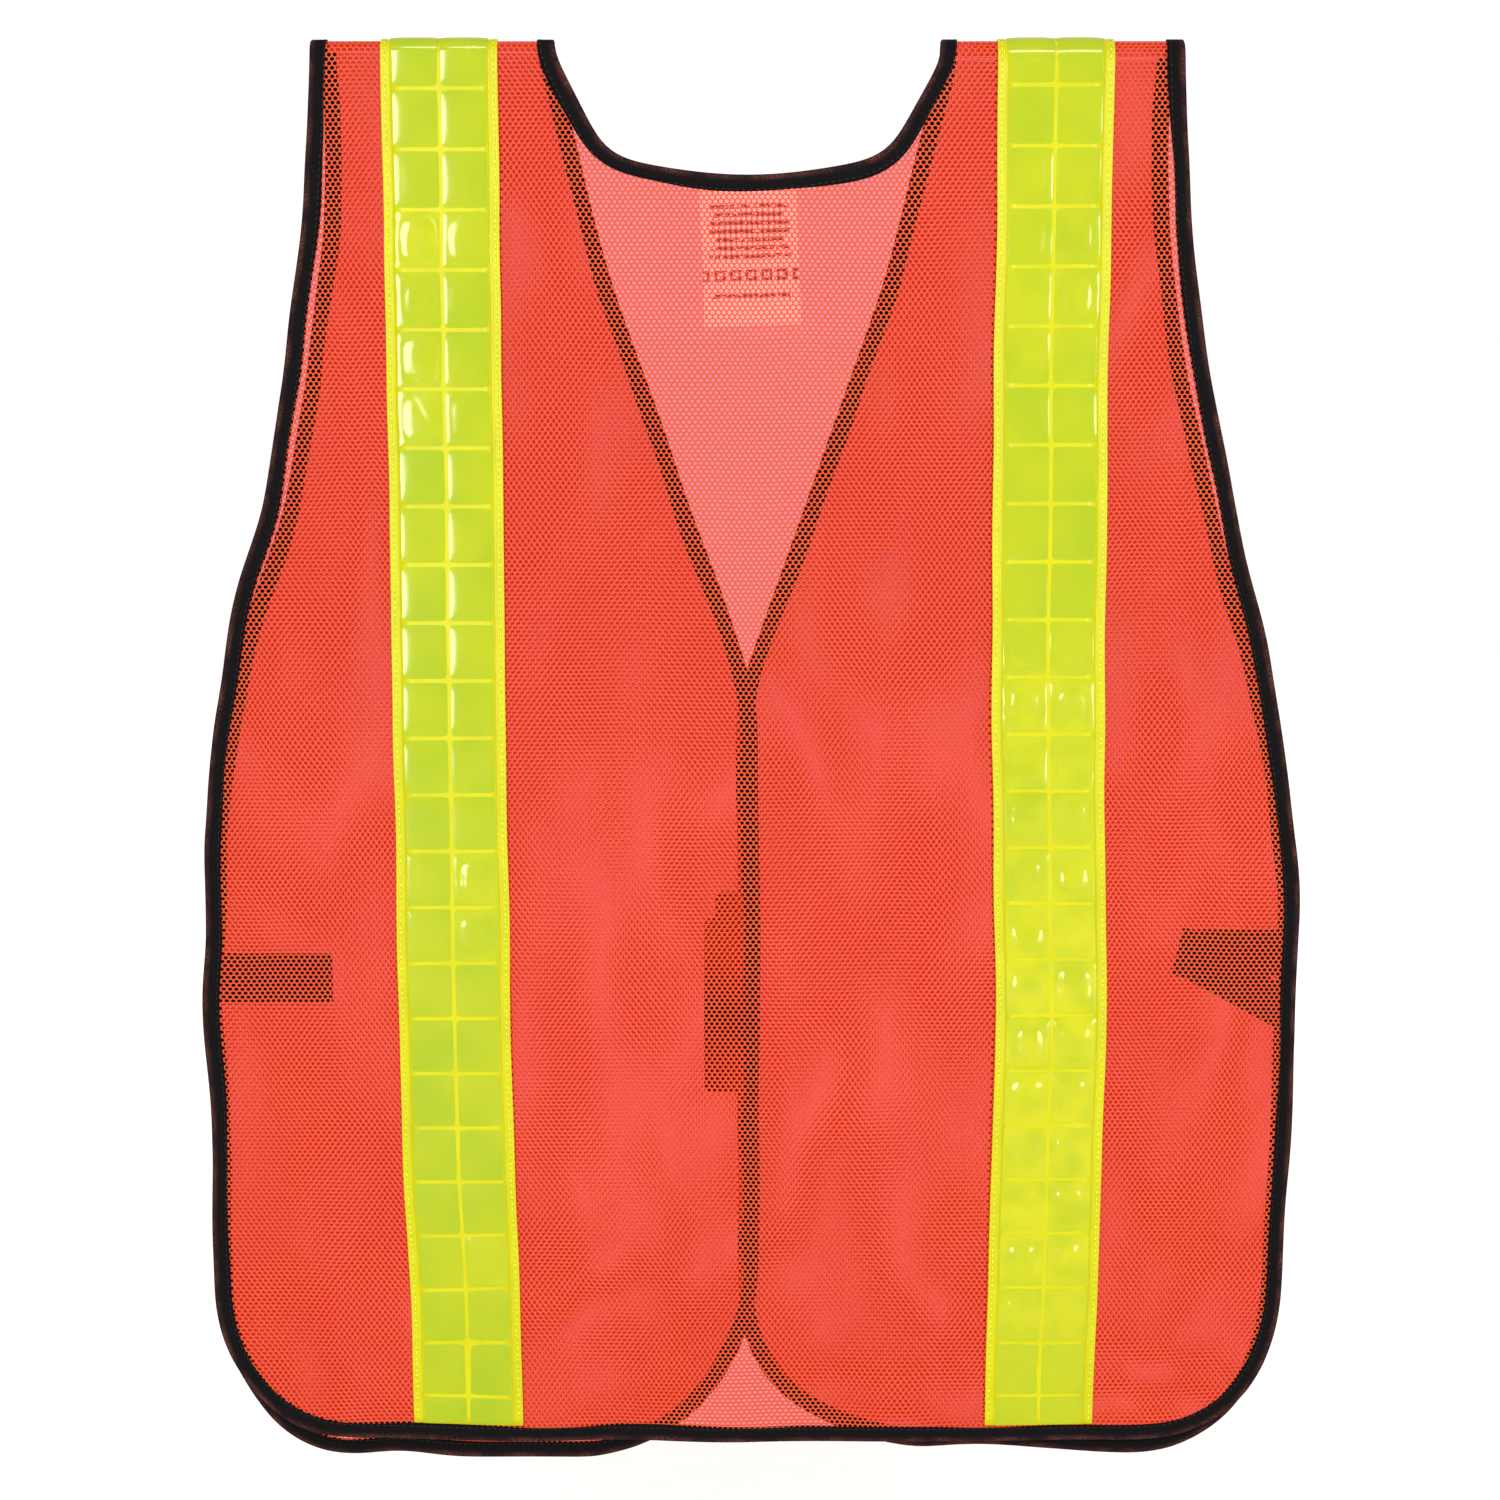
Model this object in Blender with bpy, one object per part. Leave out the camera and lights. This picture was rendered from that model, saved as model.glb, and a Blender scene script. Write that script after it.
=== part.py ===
"""High visibility vest, hanging from its shoulders with the fronts closed. The back faces -Y.

Every cloth piece is cut in a flat pattern and then draped over the shoulders. A place in the pattern
is (x, w, n): x runs across the vest, w runs up the back, over the shoulder fold and down the front,
and n stands off the cloth on its outer side. On the back w is the height z, and on a front it is -z.
"""

import math

import bmesh
import bpy
from mathutils import Matrix, Vector
from mathutils.geometry import interpolate_bezier

LEFT, RIGHT = -1, 1  # the wearer's sides; x takes this sign
SIDE_NAMES = {LEFT: "left", RIGHT: "right"}

# Driving dimensions, in metres.
GAP = 0.0003  # clearance between pieces that touch
CLOTH = 0.0008  # thickness of the mesh cloth
BACK_Y = -0.005  # middle of the back's cloth
LEFT_FRONT_Y = 0.004  # the left front lies inside the right front at the closure
FOLD_STEPS = 8

BINDING_WIDTH = 0.008
BINDING_WALL = 0.0005
BINDING_SLOT = CLOTH + 2 * GAP
BINDING_DEPTH = BINDING_SLOT + 2 * BINDING_WALL
BINDING_NOSE = 0.0004  # chamfer of the folded edge

SHOULDER_NECK_X = 0.084
SHOULDER_ARM_X = 0.190
SIDE_X = 0.2485
BACK_HEM = 0.642
NECK_DROP = 0.057

TAPE_X = 0.134
TAPE_WIDTH = 0.0508
TAPE_THICKNESS = 0.0006
GROOVES = (0.0018, 0.0035)  # the tape's sewn grooves, in from its edge
GROOVE_WIDTH = 0.0007
GROOVE_DEPTH = 0.0002
FILM_WIDTH = 0.0423
FILM_THICKNESS = 0.0004
FILM_PITCH = 0.0261  # from one cell row to the next, along the tape
FILM_PHASE = 0.0224  # from the shoulder's crest to the first row line on the back
FILM_COLUMNS = 2
RIB = 0.0017  # welded rib between two cells
PILLOW_SLOPE = 0.0018
PILLOW_RISE = 0.0005
SHORTEST_ROW = 0.008

CLOSURE_THICKNESS = 0.001
HOOK_BOX = ((-0.021, 0.394), (0.004, 0.476))  # across, and down from the shoulder
LOOP_BOX = ((-0.016, 0.381), (0.004, 0.460))

STRAP_WIDTH = 0.0217
STRAP_REACH = 0.057  # how far the strap is folded in from the side
STRAP_THICKNESS = 0.0012
STRAP_DROP = {LEFT: 0.409, RIGHT: 0.397}  # top of the strap, down from the shoulder
STRAP_SLANT = {LEFT: 0.0, RIGHT: 0.021}  # how much lower the front leg is sewn

LABEL_WIDTH = 0.043
LABEL_LENGTH = 0.061
LABEL_THICKNESS = 0.0004
LABEL_DROP = 0.062

HINGE_TOP_X = 0.2135
HINGE_LOW = (0.2555, 0.430)  # a second place on the side axis: across, and down

# What follows from the driving dimensions.
RIGHT_FRONT_Y = LEFT_FRONT_Y + BINDING_DEPTH + 2 * CLOSURE_THICKNESS + 3 * GAP
FRONT_Y = {LEFT: LEFT_FRONT_Y, RIGHT: RIGHT_FRONT_Y}
RADIUS = {side: (FRONT_Y[side] - BACK_Y) / 2 for side in (LEFT, RIGHT)}
MIDDLE_Y = {side: (FRONT_Y[side] + BACK_Y) / 2 for side in (LEFT, RIGHT)}
TAPE_N = CLOTH / 2 + GAP
FILM_N = TAPE_N + TAPE_THICKNESS + GAP
CLOTH_EDGE = BINDING_WALL + GAP  # the cloth stops this far inside its binding

# How far each front passes the centre line, how deep its hem hangs, and the curve of its lower
# corner at the centre: where it starts and its two handles and end, for the right-hand side.
FRONTS = {
    LEFT: {
        "overlap": 0.004,
        "hem": 0.653,
        "corner": ((-0.004, 0.560), (-0.004, 0.600), (0.020, 0.645), (0.075, 0.653)),
    },
    RIGHT: {
        "overlap": 0.006,
        "hem": 0.647,
        "corner": ((-0.006, 0.566), (-0.006, 0.612), (0.012, 0.640), (0.080, 0.647)),
    },
}

# Colour, roughness and metallic value of each material.
MATERIALS = {
    "mesh_cloth": ((0.95, 0.12, 0.045), 0.75, 0.0),
    "binding": ((0.012, 0.011, 0.012), 0.85, 0.0),
    "tape": ((0.72, 0.80, 0.02), 0.45, 0.0),
    "prism_film": ((0.55, 0.60, 0.05), 0.18, 0.0),
    "elastic": ((0.02, 0.018, 0.02), 0.9, 0.0),
    "hook_and_loop": ((0.03, 0.028, 0.03), 0.95, 0.0),
    "label": ((0.85, 0.85, 0.83), 0.6, 0.0),
}


def clear_scene():
    for item in list(bpy.data.objects):
        bpy.data.objects.remove(item, do_unlink=True)


def material(name):
    """The named material, made on first use."""
    found = bpy.data.materials.get(name)
    if found:
        return found
    colour, roughness, metallic = MATERIALS[name]
    made = bpy.data.materials.new(name)
    made.use_nodes = True
    shader = made.node_tree.nodes["Principled BSDF"]
    shader.inputs["Base Color"].default_value = (*colour, 1.0)
    shader.inputs["Roughness"].default_value = roughness
    shader.inputs["Metallic"].default_value = metallic
    made.diffuse_color = (*colour, 1.0)
    return made


def body_empty(name, place):
    """An empty on a moving body's joint axis, which its pieces hang from."""
    empty = bpy.data.objects.new(name, None)
    empty.location = place
    bpy.context.collection.objects.link(empty)
    return empty


def add_piece(name, bm, material_name, body=None):
    """The mesh as an object, hung from its body's empty if it has one."""
    bmesh.ops.recalc_face_normals(bm, faces=bm.faces)
    if bm.calc_volume(signed=True) < 0:
        bmesh.ops.reverse_faces(bm, faces=bm.faces)
    bmesh.ops.triangulate(bm, faces=bm.faces)
    if body:
        bmesh.ops.translate(bm, verts=bm.verts, vec=-body.location)
    mesh = bpy.data.meshes.new(name)
    bm.to_mesh(mesh)
    bm.free()
    mesh.materials.append(material(material_name))
    piece = bpy.data.objects.new(name, mesh)
    piece.parent = body
    bpy.context.collection.objects.link(piece)
    return piece


# Paths: lists of flat places (x, w).


def bezier(start, handle_a, handle_b, end, steps):
    """Places on a cubic curve, without its start."""
    flat = [Vector(p) for p in (start, handle_a, handle_b, end)]
    return interpolate_bezier(*flat, steps + 1)[1:]


def line(*places):
    return [Vector(p) for p in places]


def mirrored(path):
    """The other side's path, in the order that keeps the cloth on the same hand."""
    return [Vector((-p.x, p.y)) for p in reversed(path)]


def inward(path):
    """At each place, the step that moves the path 1 m into the cloth, mitred at the corners."""
    steps = []
    for i, place in enumerate(path):
        before = (place - path[i - 1]).normalized() if i else None
        after = (path[i + 1] - place).normalized() if i + 1 < len(path) else None
        sides = [Vector((d.y, -d.x)) for d in (before, after) if d]
        middle = sum(sides, Vector((0, 0))).normalized()
        steps.append(middle / middle.dot(sides[0]))
    return steps


def inset(path, distance):
    return [p + step * distance for p, step in zip(path, inward(path))]


def back_half_edge(side):
    """The right half of the back's edge, from the shoulder fold down to the middle of the hem."""
    radius = RADIUS[side]
    waist, corner = (SIDE_X, -0.420), (0.2465, -0.575)
    path = line((SHOULDER_ARM_X, radius), (SHOULDER_ARM_X, -radius))
    path += bezier(path[-1], (0.193, -0.080), (0.204, -0.157), (0.225, -0.235), 7)
    path += bezier(path[-1], (0.2412, -0.295), (SIDE_X, -0.360), waist, 6)
    path += line(corner)
    path += bezier(corner, (0.245, -0.612), (0.222, -BACK_HEM), (0.185, -BACK_HEM), 7)
    return path


def back_edge():
    return back_half_edge(RIGHT) + mirrored(back_half_edge(LEFT))


def neck_half_edge(side):
    """The right half of the back's neckline, from its middle up to the shoulder fold."""
    radius = RADIUS[side]
    middle, low, high = (0, -NECK_DROP), (0.048, -0.0515), (0.068, -0.036)
    path = line(middle)
    path += bezier(middle, (0.016, -NECK_DROP), (0.033, -0.0545), low, 4)
    path += bezier(low, (0.058, -0.0495), (0.064, -0.045), high, 4)
    path += line((SHOULDER_NECK_X, -radius), (SHOULDER_NECK_X, radius))
    return path


def neck_edge():
    return mirrored(neck_half_edge(LEFT)) + neck_half_edge(RIGHT)[1:]


def front_edge(side):
    """A front's edge as on the right side: down the V, round the hem and up the armhole."""
    shape = FRONTS[side]
    top = RADIUS[side] + GAP
    centre = -shape["overlap"]
    hem = shape["hem"]
    chest, closure = (0.008, 0.254), (centre, 0.305)
    neck, arm, waist = (SHOULDER_NECK_X, top), (0.222, 0.240), (SIDE_X, 0.420)
    corner_start, handle_a, handle_b, corner_end = shape["corner"]
    path = line(neck, (SHOULDER_NECK_X, top + 0.004))
    path += bezier(path[-1], (0.075, 0.040), (0.068, 0.078), (0.060, 0.105), 5)
    path += line(chest)
    path += bezier(chest, (0.002, 0.272), (centre, 0.288), closure, 4)
    path += line(corner_start)
    path += bezier(corner_start, handle_a, handle_b, corner_end, 8)
    path += line((0.185, hem))
    path += bezier((0.185, hem), (0.222, hem), (0.245, 0.618), (0.2465, 0.580), 7)
    path += line(waist)
    path += bezier(waist, (SIDE_X, 0.365), (0.240, 0.295), arm, 6)
    path += bezier(arm, (0.194, 0.130), (0.180, 0.050), (0.187, top + 0.004), 7)
    path += line((0.187, top))
    return path if side == RIGHT else mirrored(path)


# Solids in the flat pattern.


def plate(outline, low, high):
    """A closed flat solid on the outline, between two heights off the cloth."""
    bm = bmesh.new()
    face = bm.faces.new([bm.verts.new((p.x, p.y, low)) for p in outline])
    grown = bmesh.ops.extrude_face_region(bm, geom=[face])
    raised = [g for g in grown["geom"] if isinstance(g, bmesh.types.BMVert)]
    bmesh.ops.translate(bm, verts=raised, vec=(0, 0, high - low))
    return bm


def binding_profile():
    """Half of the folded tape's section, as (into the cloth, off the cloth), from nose to hem."""
    outer, slot = BINDING_DEPTH / 2, BINDING_SLOT / 2
    half = [(0, outer - BINDING_NOSE), (BINDING_NOSE, outer), (BINDING_WIDTH, outer)]
    half += [(BINDING_WIDTH, slot), (BINDING_WALL, slot)]
    return half + [(d, -n) for d, n in reversed(half)]


def channel(path):
    """A folded binding swept along the path, with the cloth's slot open inwards."""
    bm = bmesh.new()
    profile = binding_profile()
    rings = []
    for place, step in zip(path, inward(path)):
        flat = [(place + step * d, n) for d, n in profile]
        rings.append([bm.verts.new((p.x, p.y, n)) for p, n in flat])
    for ring, following in zip(rings, rings[1:]):
        for i in range(len(ring)):
            j = (i + 1) % len(ring)
            bm.faces.new((ring[i], ring[j], following[j], following[i]))
    bm.faces.new(rings[0])
    bm.faces.new(rings[-1])
    return bm


def tape_profile():
    """The tape's section as (across, off the cloth), with two sewn grooves down each border."""
    half, top = TAPE_WIDTH / 2, TAPE_N + TAPE_THICKNESS
    border = [(-half, TAPE_N), (-half, top)]
    for place in GROOVES:
        centre = place - half
        border += [(centre - GROOVE_WIDTH / 2, top), (centre, top - GROOVE_DEPTH)]
        border += [(centre + GROOVE_WIDTH / 2, top)]
    return border + [(-x, n) for x, n in reversed(border)]


def ribbon(centre, start, end):
    """The tape's section extruded along the pattern, from one w to another."""
    bm = bmesh.new()
    face = bm.faces.new([bm.verts.new((centre + x, start, n)) for x, n in tape_profile()])
    grown = bmesh.ops.extrude_face_region(bm, geom=[face])
    moved = [g for g in grown["geom"] if isinstance(g, bmesh.types.BMVert)]
    bmesh.ops.translate(bm, verts=moved, vec=(0, end - start, 0))
    return bm


def row_of(arc, radius):
    """The pattern's w for a distance along the cloth from the shoulder's crest."""
    quarter = radius * math.pi / 2
    if abs(arc) <= quarter:
        return arc * radius / quarter
    return math.copysign(abs(arc) - quarter + radius, arc)


def film_rows(start, end, radius):
    """Row lines of the film from start to end, with no row shorter than SHORTEST_ROW."""
    count = int(1.2 * BACK_HEM / FILM_PITCH)
    lines = [row_of(k * FILM_PITCH - FILM_PHASE, radius) for k in range(-count, count)]
    inner = [w for w in lines if start + SHORTEST_ROW < w < end - SHORTEST_ROW]
    return [start, *inner, end]


def film(centre, rows):
    """A strip of welded cells: a grid whose cells are inset by their ribs and puffed up."""
    bm = bmesh.new()
    columns = [centre + FILM_WIDTH * (i / FILM_COLUMNS - 0.5) for i in range(FILM_COLUMNS + 1)]
    grid = [[bm.verts.new((x, w, FILM_N)) for x in columns] for w in rows]
    for low, high in zip(grid, grid[1:]):
        for i in range(FILM_COLUMNS):
            bm.faces.new((low[i], low[i + 1], high[i + 1], high[i]))
    grown = bmesh.ops.extrude_face_region(bm, geom=list(bm.faces))
    raised = [g for g in grown["geom"] if isinstance(g, bmesh.types.BMVert)]
    cells = [g for g in grown["geom"] if isinstance(g, bmesh.types.BMFace)]
    bmesh.ops.translate(bm, verts=raised, vec=(0, 0, FILM_THICKNESS))
    bmesh.ops.recalc_face_normals(bm, faces=bm.faces)
    bmesh.ops.inset_individual(bm, faces=cells, thickness=RIB / 2, depth=0)
    bmesh.ops.inset_individual(bm, faces=cells, thickness=PILLOW_SLOPE, depth=PILLOW_RISE)
    return bm


# Draping: from the flat pattern to the hanging vest.


def drape(place, radius):
    """The place in the vest of a place in the pattern, over a shoulder fold of this radius."""
    x, w, n = place
    if w <= -radius:
        return Vector((x, BACK_Y - n, w))
    if w >= radius:
        return Vector((x, BACK_Y + 2 * radius + n, -w))
    turn = math.pi * (w + radius) / (2 * radius)
    reach = radius + n
    return Vector((x, BACK_Y + radius - reach * math.cos(turn), reach * math.sin(turn) - radius))


def cut_across(bm, w):
    """Cuts the pattern's solid along a line across it."""
    geometry = [*bm.verts, *bm.edges, *bm.faces]
    bmesh.ops.bisect_plane(bm, geom=geometry, dist=1e-7, plane_co=(0, w, 0), plane_no=(0, 1, 0))


def draped(bm, side):
    """The pattern's solid laid over one shoulder, whose fold is made of FOLD_STEPS flats."""
    radius = RADIUS[side]
    for i in range(FOLD_STEPS + 1):
        cut_across(bm, radius * (2 * i / FOLD_STEPS - 1))
    for vert in bm.verts:
        vert.co = drape(vert.co, radius)
    return bm


def draped_across(bm):
    """The pattern's solid laid over both shoulders, with a fold of its own on each."""
    for side in (LEFT, RIGHT):
        for i in range(FOLD_STEPS + 1):
            cut_across(bm, RADIUS[side] * (2 * i / FOLD_STEPS - 1))
    for vert in bm.verts:
        vert.co = drape(vert.co, RADIUS[RIGHT if vert.co.x > 0 else LEFT])
    return bm


# The vest's pieces.


def add_panels(bodies):
    """The mesh cloth: one back that folds over both shoulders, and two fronts."""
    back = inset(back_edge(), CLOTH_EDGE) + inset(neck_edge(), CLOTH_EDGE)
    add_piece("back_panel", draped_across(plate(back, -CLOTH / 2, CLOTH / 2)), "mesh_cloth")
    for side, name in SIDE_NAMES.items():
        front = plate(inset(front_edge(side), CLOTH_EDGE), -CLOTH / 2, CLOTH / 2)
        body = bodies[f"{name}_front"]
        add_piece(f"{name}_front_panel", draped(front, side), "mesh_cloth", body)


def add_bindings(bodies):
    add_piece("back_neck_binding", draped_across(channel(neck_edge())), "binding")
    add_piece("back_edge_binding", draped_across(channel(back_edge())), "binding")
    for side, name in SIDE_NAMES.items():
        solid = draped(channel(front_edge(side)), side)
        add_piece(f"{name}_front_binding", solid, "binding", bodies[f"{name}_front"])


def add_tape(half, side, start, end, body=None):
    """A reflective tape and its film, from one w to another, on the half of the vest named."""
    name = f"{half}_{SIDE_NAMES[side]}"
    centre = side * TAPE_X
    add_piece(f"{name}_tape", draped(ribbon(centre, start, end), side), "tape", body)
    cells = film(centre, film_rows(start, end, RADIUS[side]))
    add_piece(f"{name}_film", draped(cells, side), "prism_film", body)


def add_tapes(bodies):
    """A tape up the back and over each shoulder, and one down each front, between the bindings."""
    hem_margin = BINDING_WIDTH + GAP
    for side, name in SIDE_NAMES.items():
        radius = RADIUS[side]
        add_tape("back", side, hem_margin - BACK_HEM, radius)
        front_end = FRONTS[side]["hem"] - hem_margin
        add_tape("front", side, radius + GAP, front_end, bodies[f"{name}_front"])


def add_closure(bodies):
    """The loop strip on the left front's outer face, and the hook strip inside the right front."""
    loop_y = LEFT_FRONT_Y + BINDING_DEPTH / 2 + GAP
    hook_y = loop_y + CLOSURE_THICKNESS + GAP
    strips = (("loop_strip", LOOP_BOX, loop_y, LEFT), ("hook_strip", HOOK_BOX, hook_y, RIGHT))
    for name, (start, end), y, side in strips:
        bm = bmesh.new()
        size = Vector((end[0] - start[0], CLOSURE_THICKNESS, end[1] - start[1]))
        middle = Vector((end[0] + start[0], 2 * y + CLOSURE_THICKNESS, -end[1] - start[1])) / 2
        bmesh.ops.create_cube(bm, size=1)
        bmesh.ops.transform(bm, matrix=Matrix.LocRotScale(middle, None, size), verts=bm.verts)
        upright = [e for e in bm.edges if abs((e.verts[0].co - e.verts[1].co).y) > 0.5 * size.y]
        bmesh.ops.bevel(bm, geom=upright, offset=0.003, segments=3, affect="EDGES", profile=0.5)
        add_piece(name, bm, "hook_and_loop", bodies[f"{SIDE_NAMES[side]}_front"])


def strap_section(side, offset):
    """The folded strap's middle line in plan, offset to one face: (in from the side, y)."""
    inner_back = BACK_Y + BINDING_DEPTH / 2 + GAP + STRAP_THICKNESS / 2
    inner_front = FRONT_Y[side] - BINDING_DEPTH / 2 - GAP - STRAP_THICKNESS / 2
    radius = (inner_front - inner_back) / 2
    reach = radius + offset
    bend = [math.pi * i / 6 - math.pi / 2 for i in range(7)]
    turn = STRAP_REACH - radius
    curve = [(turn + reach * math.cos(a), MIDDLE_Y[side] + reach * math.sin(a)) for a in bend]
    return [(0, inner_back - offset), *curve, (0, inner_front + offset)]


def add_straps(bodies):
    """An elastic strap at each side, folded in between the back and the front."""
    side_edge = SIDE_X - 0.001
    for side, name in SIDE_NAMES.items():
        half = STRAP_THICKNESS / 2
        loop = strap_section(side, half) + strap_section(side, -half)[::-1]
        bm = bmesh.new()
        top = -STRAP_DROP[side]
        corners = [bm.verts.new((side * (side_edge - d), y, top)) for d, y in loop]
        grown = bmesh.ops.extrude_face_region(bm, geom=[bm.faces.new(corners)])
        lowered = [g for g in grown["geom"] if isinstance(g, bmesh.types.BMVert)]
        bmesh.ops.translate(bm, verts=lowered, vec=(0, 0, -STRAP_WIDTH))
        for vert in bm.verts:
            outboard = abs(vert.co.x) - (side_edge - STRAP_REACH)
            if vert.co.y > MIDDLE_Y[side]:
                vert.co.z -= STRAP_SLANT[side] * outboard / STRAP_REACH
        add_piece(f"{name}_side_strap", bm, "elastic", bodies[f"{name}_strap"])


def add_label(bodies):
    """The care label, sewn by its top edge inside the back neckline."""
    bm = bmesh.new()
    y = BACK_Y + BINDING_DEPTH / 2 + GAP + LABEL_THICKNESS / 2
    middle = Vector((0, y, -LABEL_DROP - LABEL_LENGTH / 2))
    size = Vector((LABEL_WIDTH, LABEL_THICKNESS, LABEL_LENGTH))
    bmesh.ops.create_cube(bm, size=1, matrix=Matrix.LocRotScale(middle, None, size))
    add_piece("care_label", bm, "label", bodies["label"])


def moving_bodies():
    """The empties of the moving bodies: on each side's axis, and on the label's top edge."""
    bodies = {}
    for side, name in SIDE_NAMES.items():
        top = (side * HINGE_TOP_X, MIDDLE_Y[side], 0)
        low = (side * HINGE_LOW[0], MIDDLE_Y[side], -HINGE_LOW[1])
        bodies[f"{name}_front"] = body_empty(f"{name}_front_axis", top)
        bodies[f"{name}_strap"] = body_empty(f"{name}_strap_axis", low)
    label_y = BACK_Y + BINDING_DEPTH / 2 + GAP + LABEL_THICKNESS / 2
    bodies["label"] = body_empty("label_axis", (0, label_y, -LABEL_DROP))
    return bodies


def main():
    clear_scene()
    bodies = moving_bodies()
    add_panels(bodies)
    add_bindings(bodies)
    add_tapes(bodies)
    add_closure(bodies)
    add_straps(bodies)
    add_label(bodies)


main()
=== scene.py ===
"""High visibility vest: mesh cloth, knitted binding, vinyl tapes with welded prismatic film,
elastic side straps, a hook-and-loop closure and a care label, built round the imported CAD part.

Every soft piece is made in a flat pattern and then hung. A place in the pattern is (x, s, n): x
runs across the vest, s runs up the back, over the shoulder and down the front along the cloth, and
n stands off the cloth's outer side. On the back s is the height z.
"""

import math
import random
from functools import partial

import bmesh
import bpy
from bpy.props import FloatProperty, FloatVectorProperty, PointerProperty
from mathutils import Matrix, Vector, noise
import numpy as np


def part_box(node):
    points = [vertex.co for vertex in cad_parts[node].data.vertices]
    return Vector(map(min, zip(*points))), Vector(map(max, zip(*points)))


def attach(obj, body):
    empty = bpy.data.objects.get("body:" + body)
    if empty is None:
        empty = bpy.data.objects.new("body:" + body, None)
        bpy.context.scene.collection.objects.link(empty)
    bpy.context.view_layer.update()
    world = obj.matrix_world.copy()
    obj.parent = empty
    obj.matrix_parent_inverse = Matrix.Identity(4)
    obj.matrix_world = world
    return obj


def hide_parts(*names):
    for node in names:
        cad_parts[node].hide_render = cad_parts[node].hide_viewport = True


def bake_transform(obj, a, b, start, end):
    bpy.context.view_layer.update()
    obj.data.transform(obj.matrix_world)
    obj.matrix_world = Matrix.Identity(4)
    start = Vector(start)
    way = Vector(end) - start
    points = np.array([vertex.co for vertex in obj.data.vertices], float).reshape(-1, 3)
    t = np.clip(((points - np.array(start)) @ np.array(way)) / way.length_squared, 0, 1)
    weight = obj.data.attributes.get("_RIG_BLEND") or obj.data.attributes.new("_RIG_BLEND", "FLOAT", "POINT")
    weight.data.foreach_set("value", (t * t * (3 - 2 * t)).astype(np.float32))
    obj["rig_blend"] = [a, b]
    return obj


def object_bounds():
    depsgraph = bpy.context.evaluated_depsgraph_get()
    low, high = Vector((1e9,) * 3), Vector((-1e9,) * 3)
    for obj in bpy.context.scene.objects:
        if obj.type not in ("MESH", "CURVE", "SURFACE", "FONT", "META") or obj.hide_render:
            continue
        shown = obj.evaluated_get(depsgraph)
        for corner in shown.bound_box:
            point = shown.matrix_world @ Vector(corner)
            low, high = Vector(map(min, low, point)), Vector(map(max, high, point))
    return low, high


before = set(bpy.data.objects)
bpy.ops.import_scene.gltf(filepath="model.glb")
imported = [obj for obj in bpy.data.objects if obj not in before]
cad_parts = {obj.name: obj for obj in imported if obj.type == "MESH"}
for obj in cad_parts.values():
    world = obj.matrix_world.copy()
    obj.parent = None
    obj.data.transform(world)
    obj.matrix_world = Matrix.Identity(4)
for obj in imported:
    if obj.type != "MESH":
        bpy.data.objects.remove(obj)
CAD_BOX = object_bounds()

bl_info = {
    "name": "High Visibility Vest",
    "version": (1, 0, 0),
    "blender": (4, 5, 0),
    "location": "View3D > Sidebar > Vest",
    "description": "Builds a mesh safety vest with reflective tapes round its CAD frame",
    "category": "Add Mesh",
}

MM = 0.001
LEFT, RIGHT = -1, 1
SIDE_NAMES = {LEFT: "left", RIGHT: "right"}


# Where the cloth lies, from the frame.


def middle(node, axis):
    low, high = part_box(node)
    return (low[axis] + high[axis]) / 2


CLOTH_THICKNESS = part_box("left_front_panel")[1].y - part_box("left_front_panel")[0].y
BACK_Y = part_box("back_panel")[0].y + CLOTH_THICKNESS / 2
FRONT_Y = {side: middle(f"{name}_front_panel", 1) for side, name in SIDE_NAMES.items()}
RADIUS = {side: (FRONT_Y[side] - BACK_Y) / 2 for side in (LEFT, RIGHT)}
BINDING_WIDTH = 8 * MM
CLOTH_INSET = 0.8 * MM  # the binding's edge stands this far outside the cloth's
PARTING = 0.3 * MM  # gap between the back and a front at the shoulder
TAPE_TOP = 1.32 * MM  # how far the tape and its film stand off the cloth's middle
FILM_TOP = 1.62 * MM
BEND_REACH = 0.22  # how far below the shoulder a front's cloth still bends as the front swings


def shoulder_end(side):
    """The pattern's s where the shoulder fold ends and the front begins."""
    return (math.pi - 1) * RADIUS[side]


def on_body(x, s, n, side):
    """The place in the hanging vest of a place in the pattern."""
    radius = RADIUS[side]
    turn = (s + radius) / radius
    if turn <= 0:
        return Vector((x, BACK_Y - n, s))
    if turn >= math.pi:
        return Vector((x, BACK_Y + 2 * radius + n, shoulder_end(side) - radius - s))
    reach = radius + n
    return Vector((x, BACK_Y + radius - reach * math.cos(turn), reach * math.sin(turn) - radius))


def in_pattern(place, side):
    """The place in the pattern of a place in the hanging vest."""
    radius = RADIUS[side]
    middle_y = BACK_Y + radius
    if place.z <= -radius:
        if place.y < middle_y:
            return Vector((place.x, place.z, BACK_Y - place.y))
        return Vector((place.x, shoulder_end(side) - radius - place.z, place.y - middle_y - radius))
    turn = math.atan2(place.z + radius, middle_y - place.y)
    reach = math.hypot(place.z + radius, middle_y - place.y)
    return Vector((place.x, radius * turn - radius, reach - radius))


def smooth(t):
    t = min(max(t, 0.0), 1.0)
    return t * t * (3 - 2 * t)


def swell(x, z, size, row):
    """Soft, even noise with bumps about this size, from -1 to 1."""
    return noise.noise(Vector((x / size, z / size, row * 7.31)))


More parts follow.
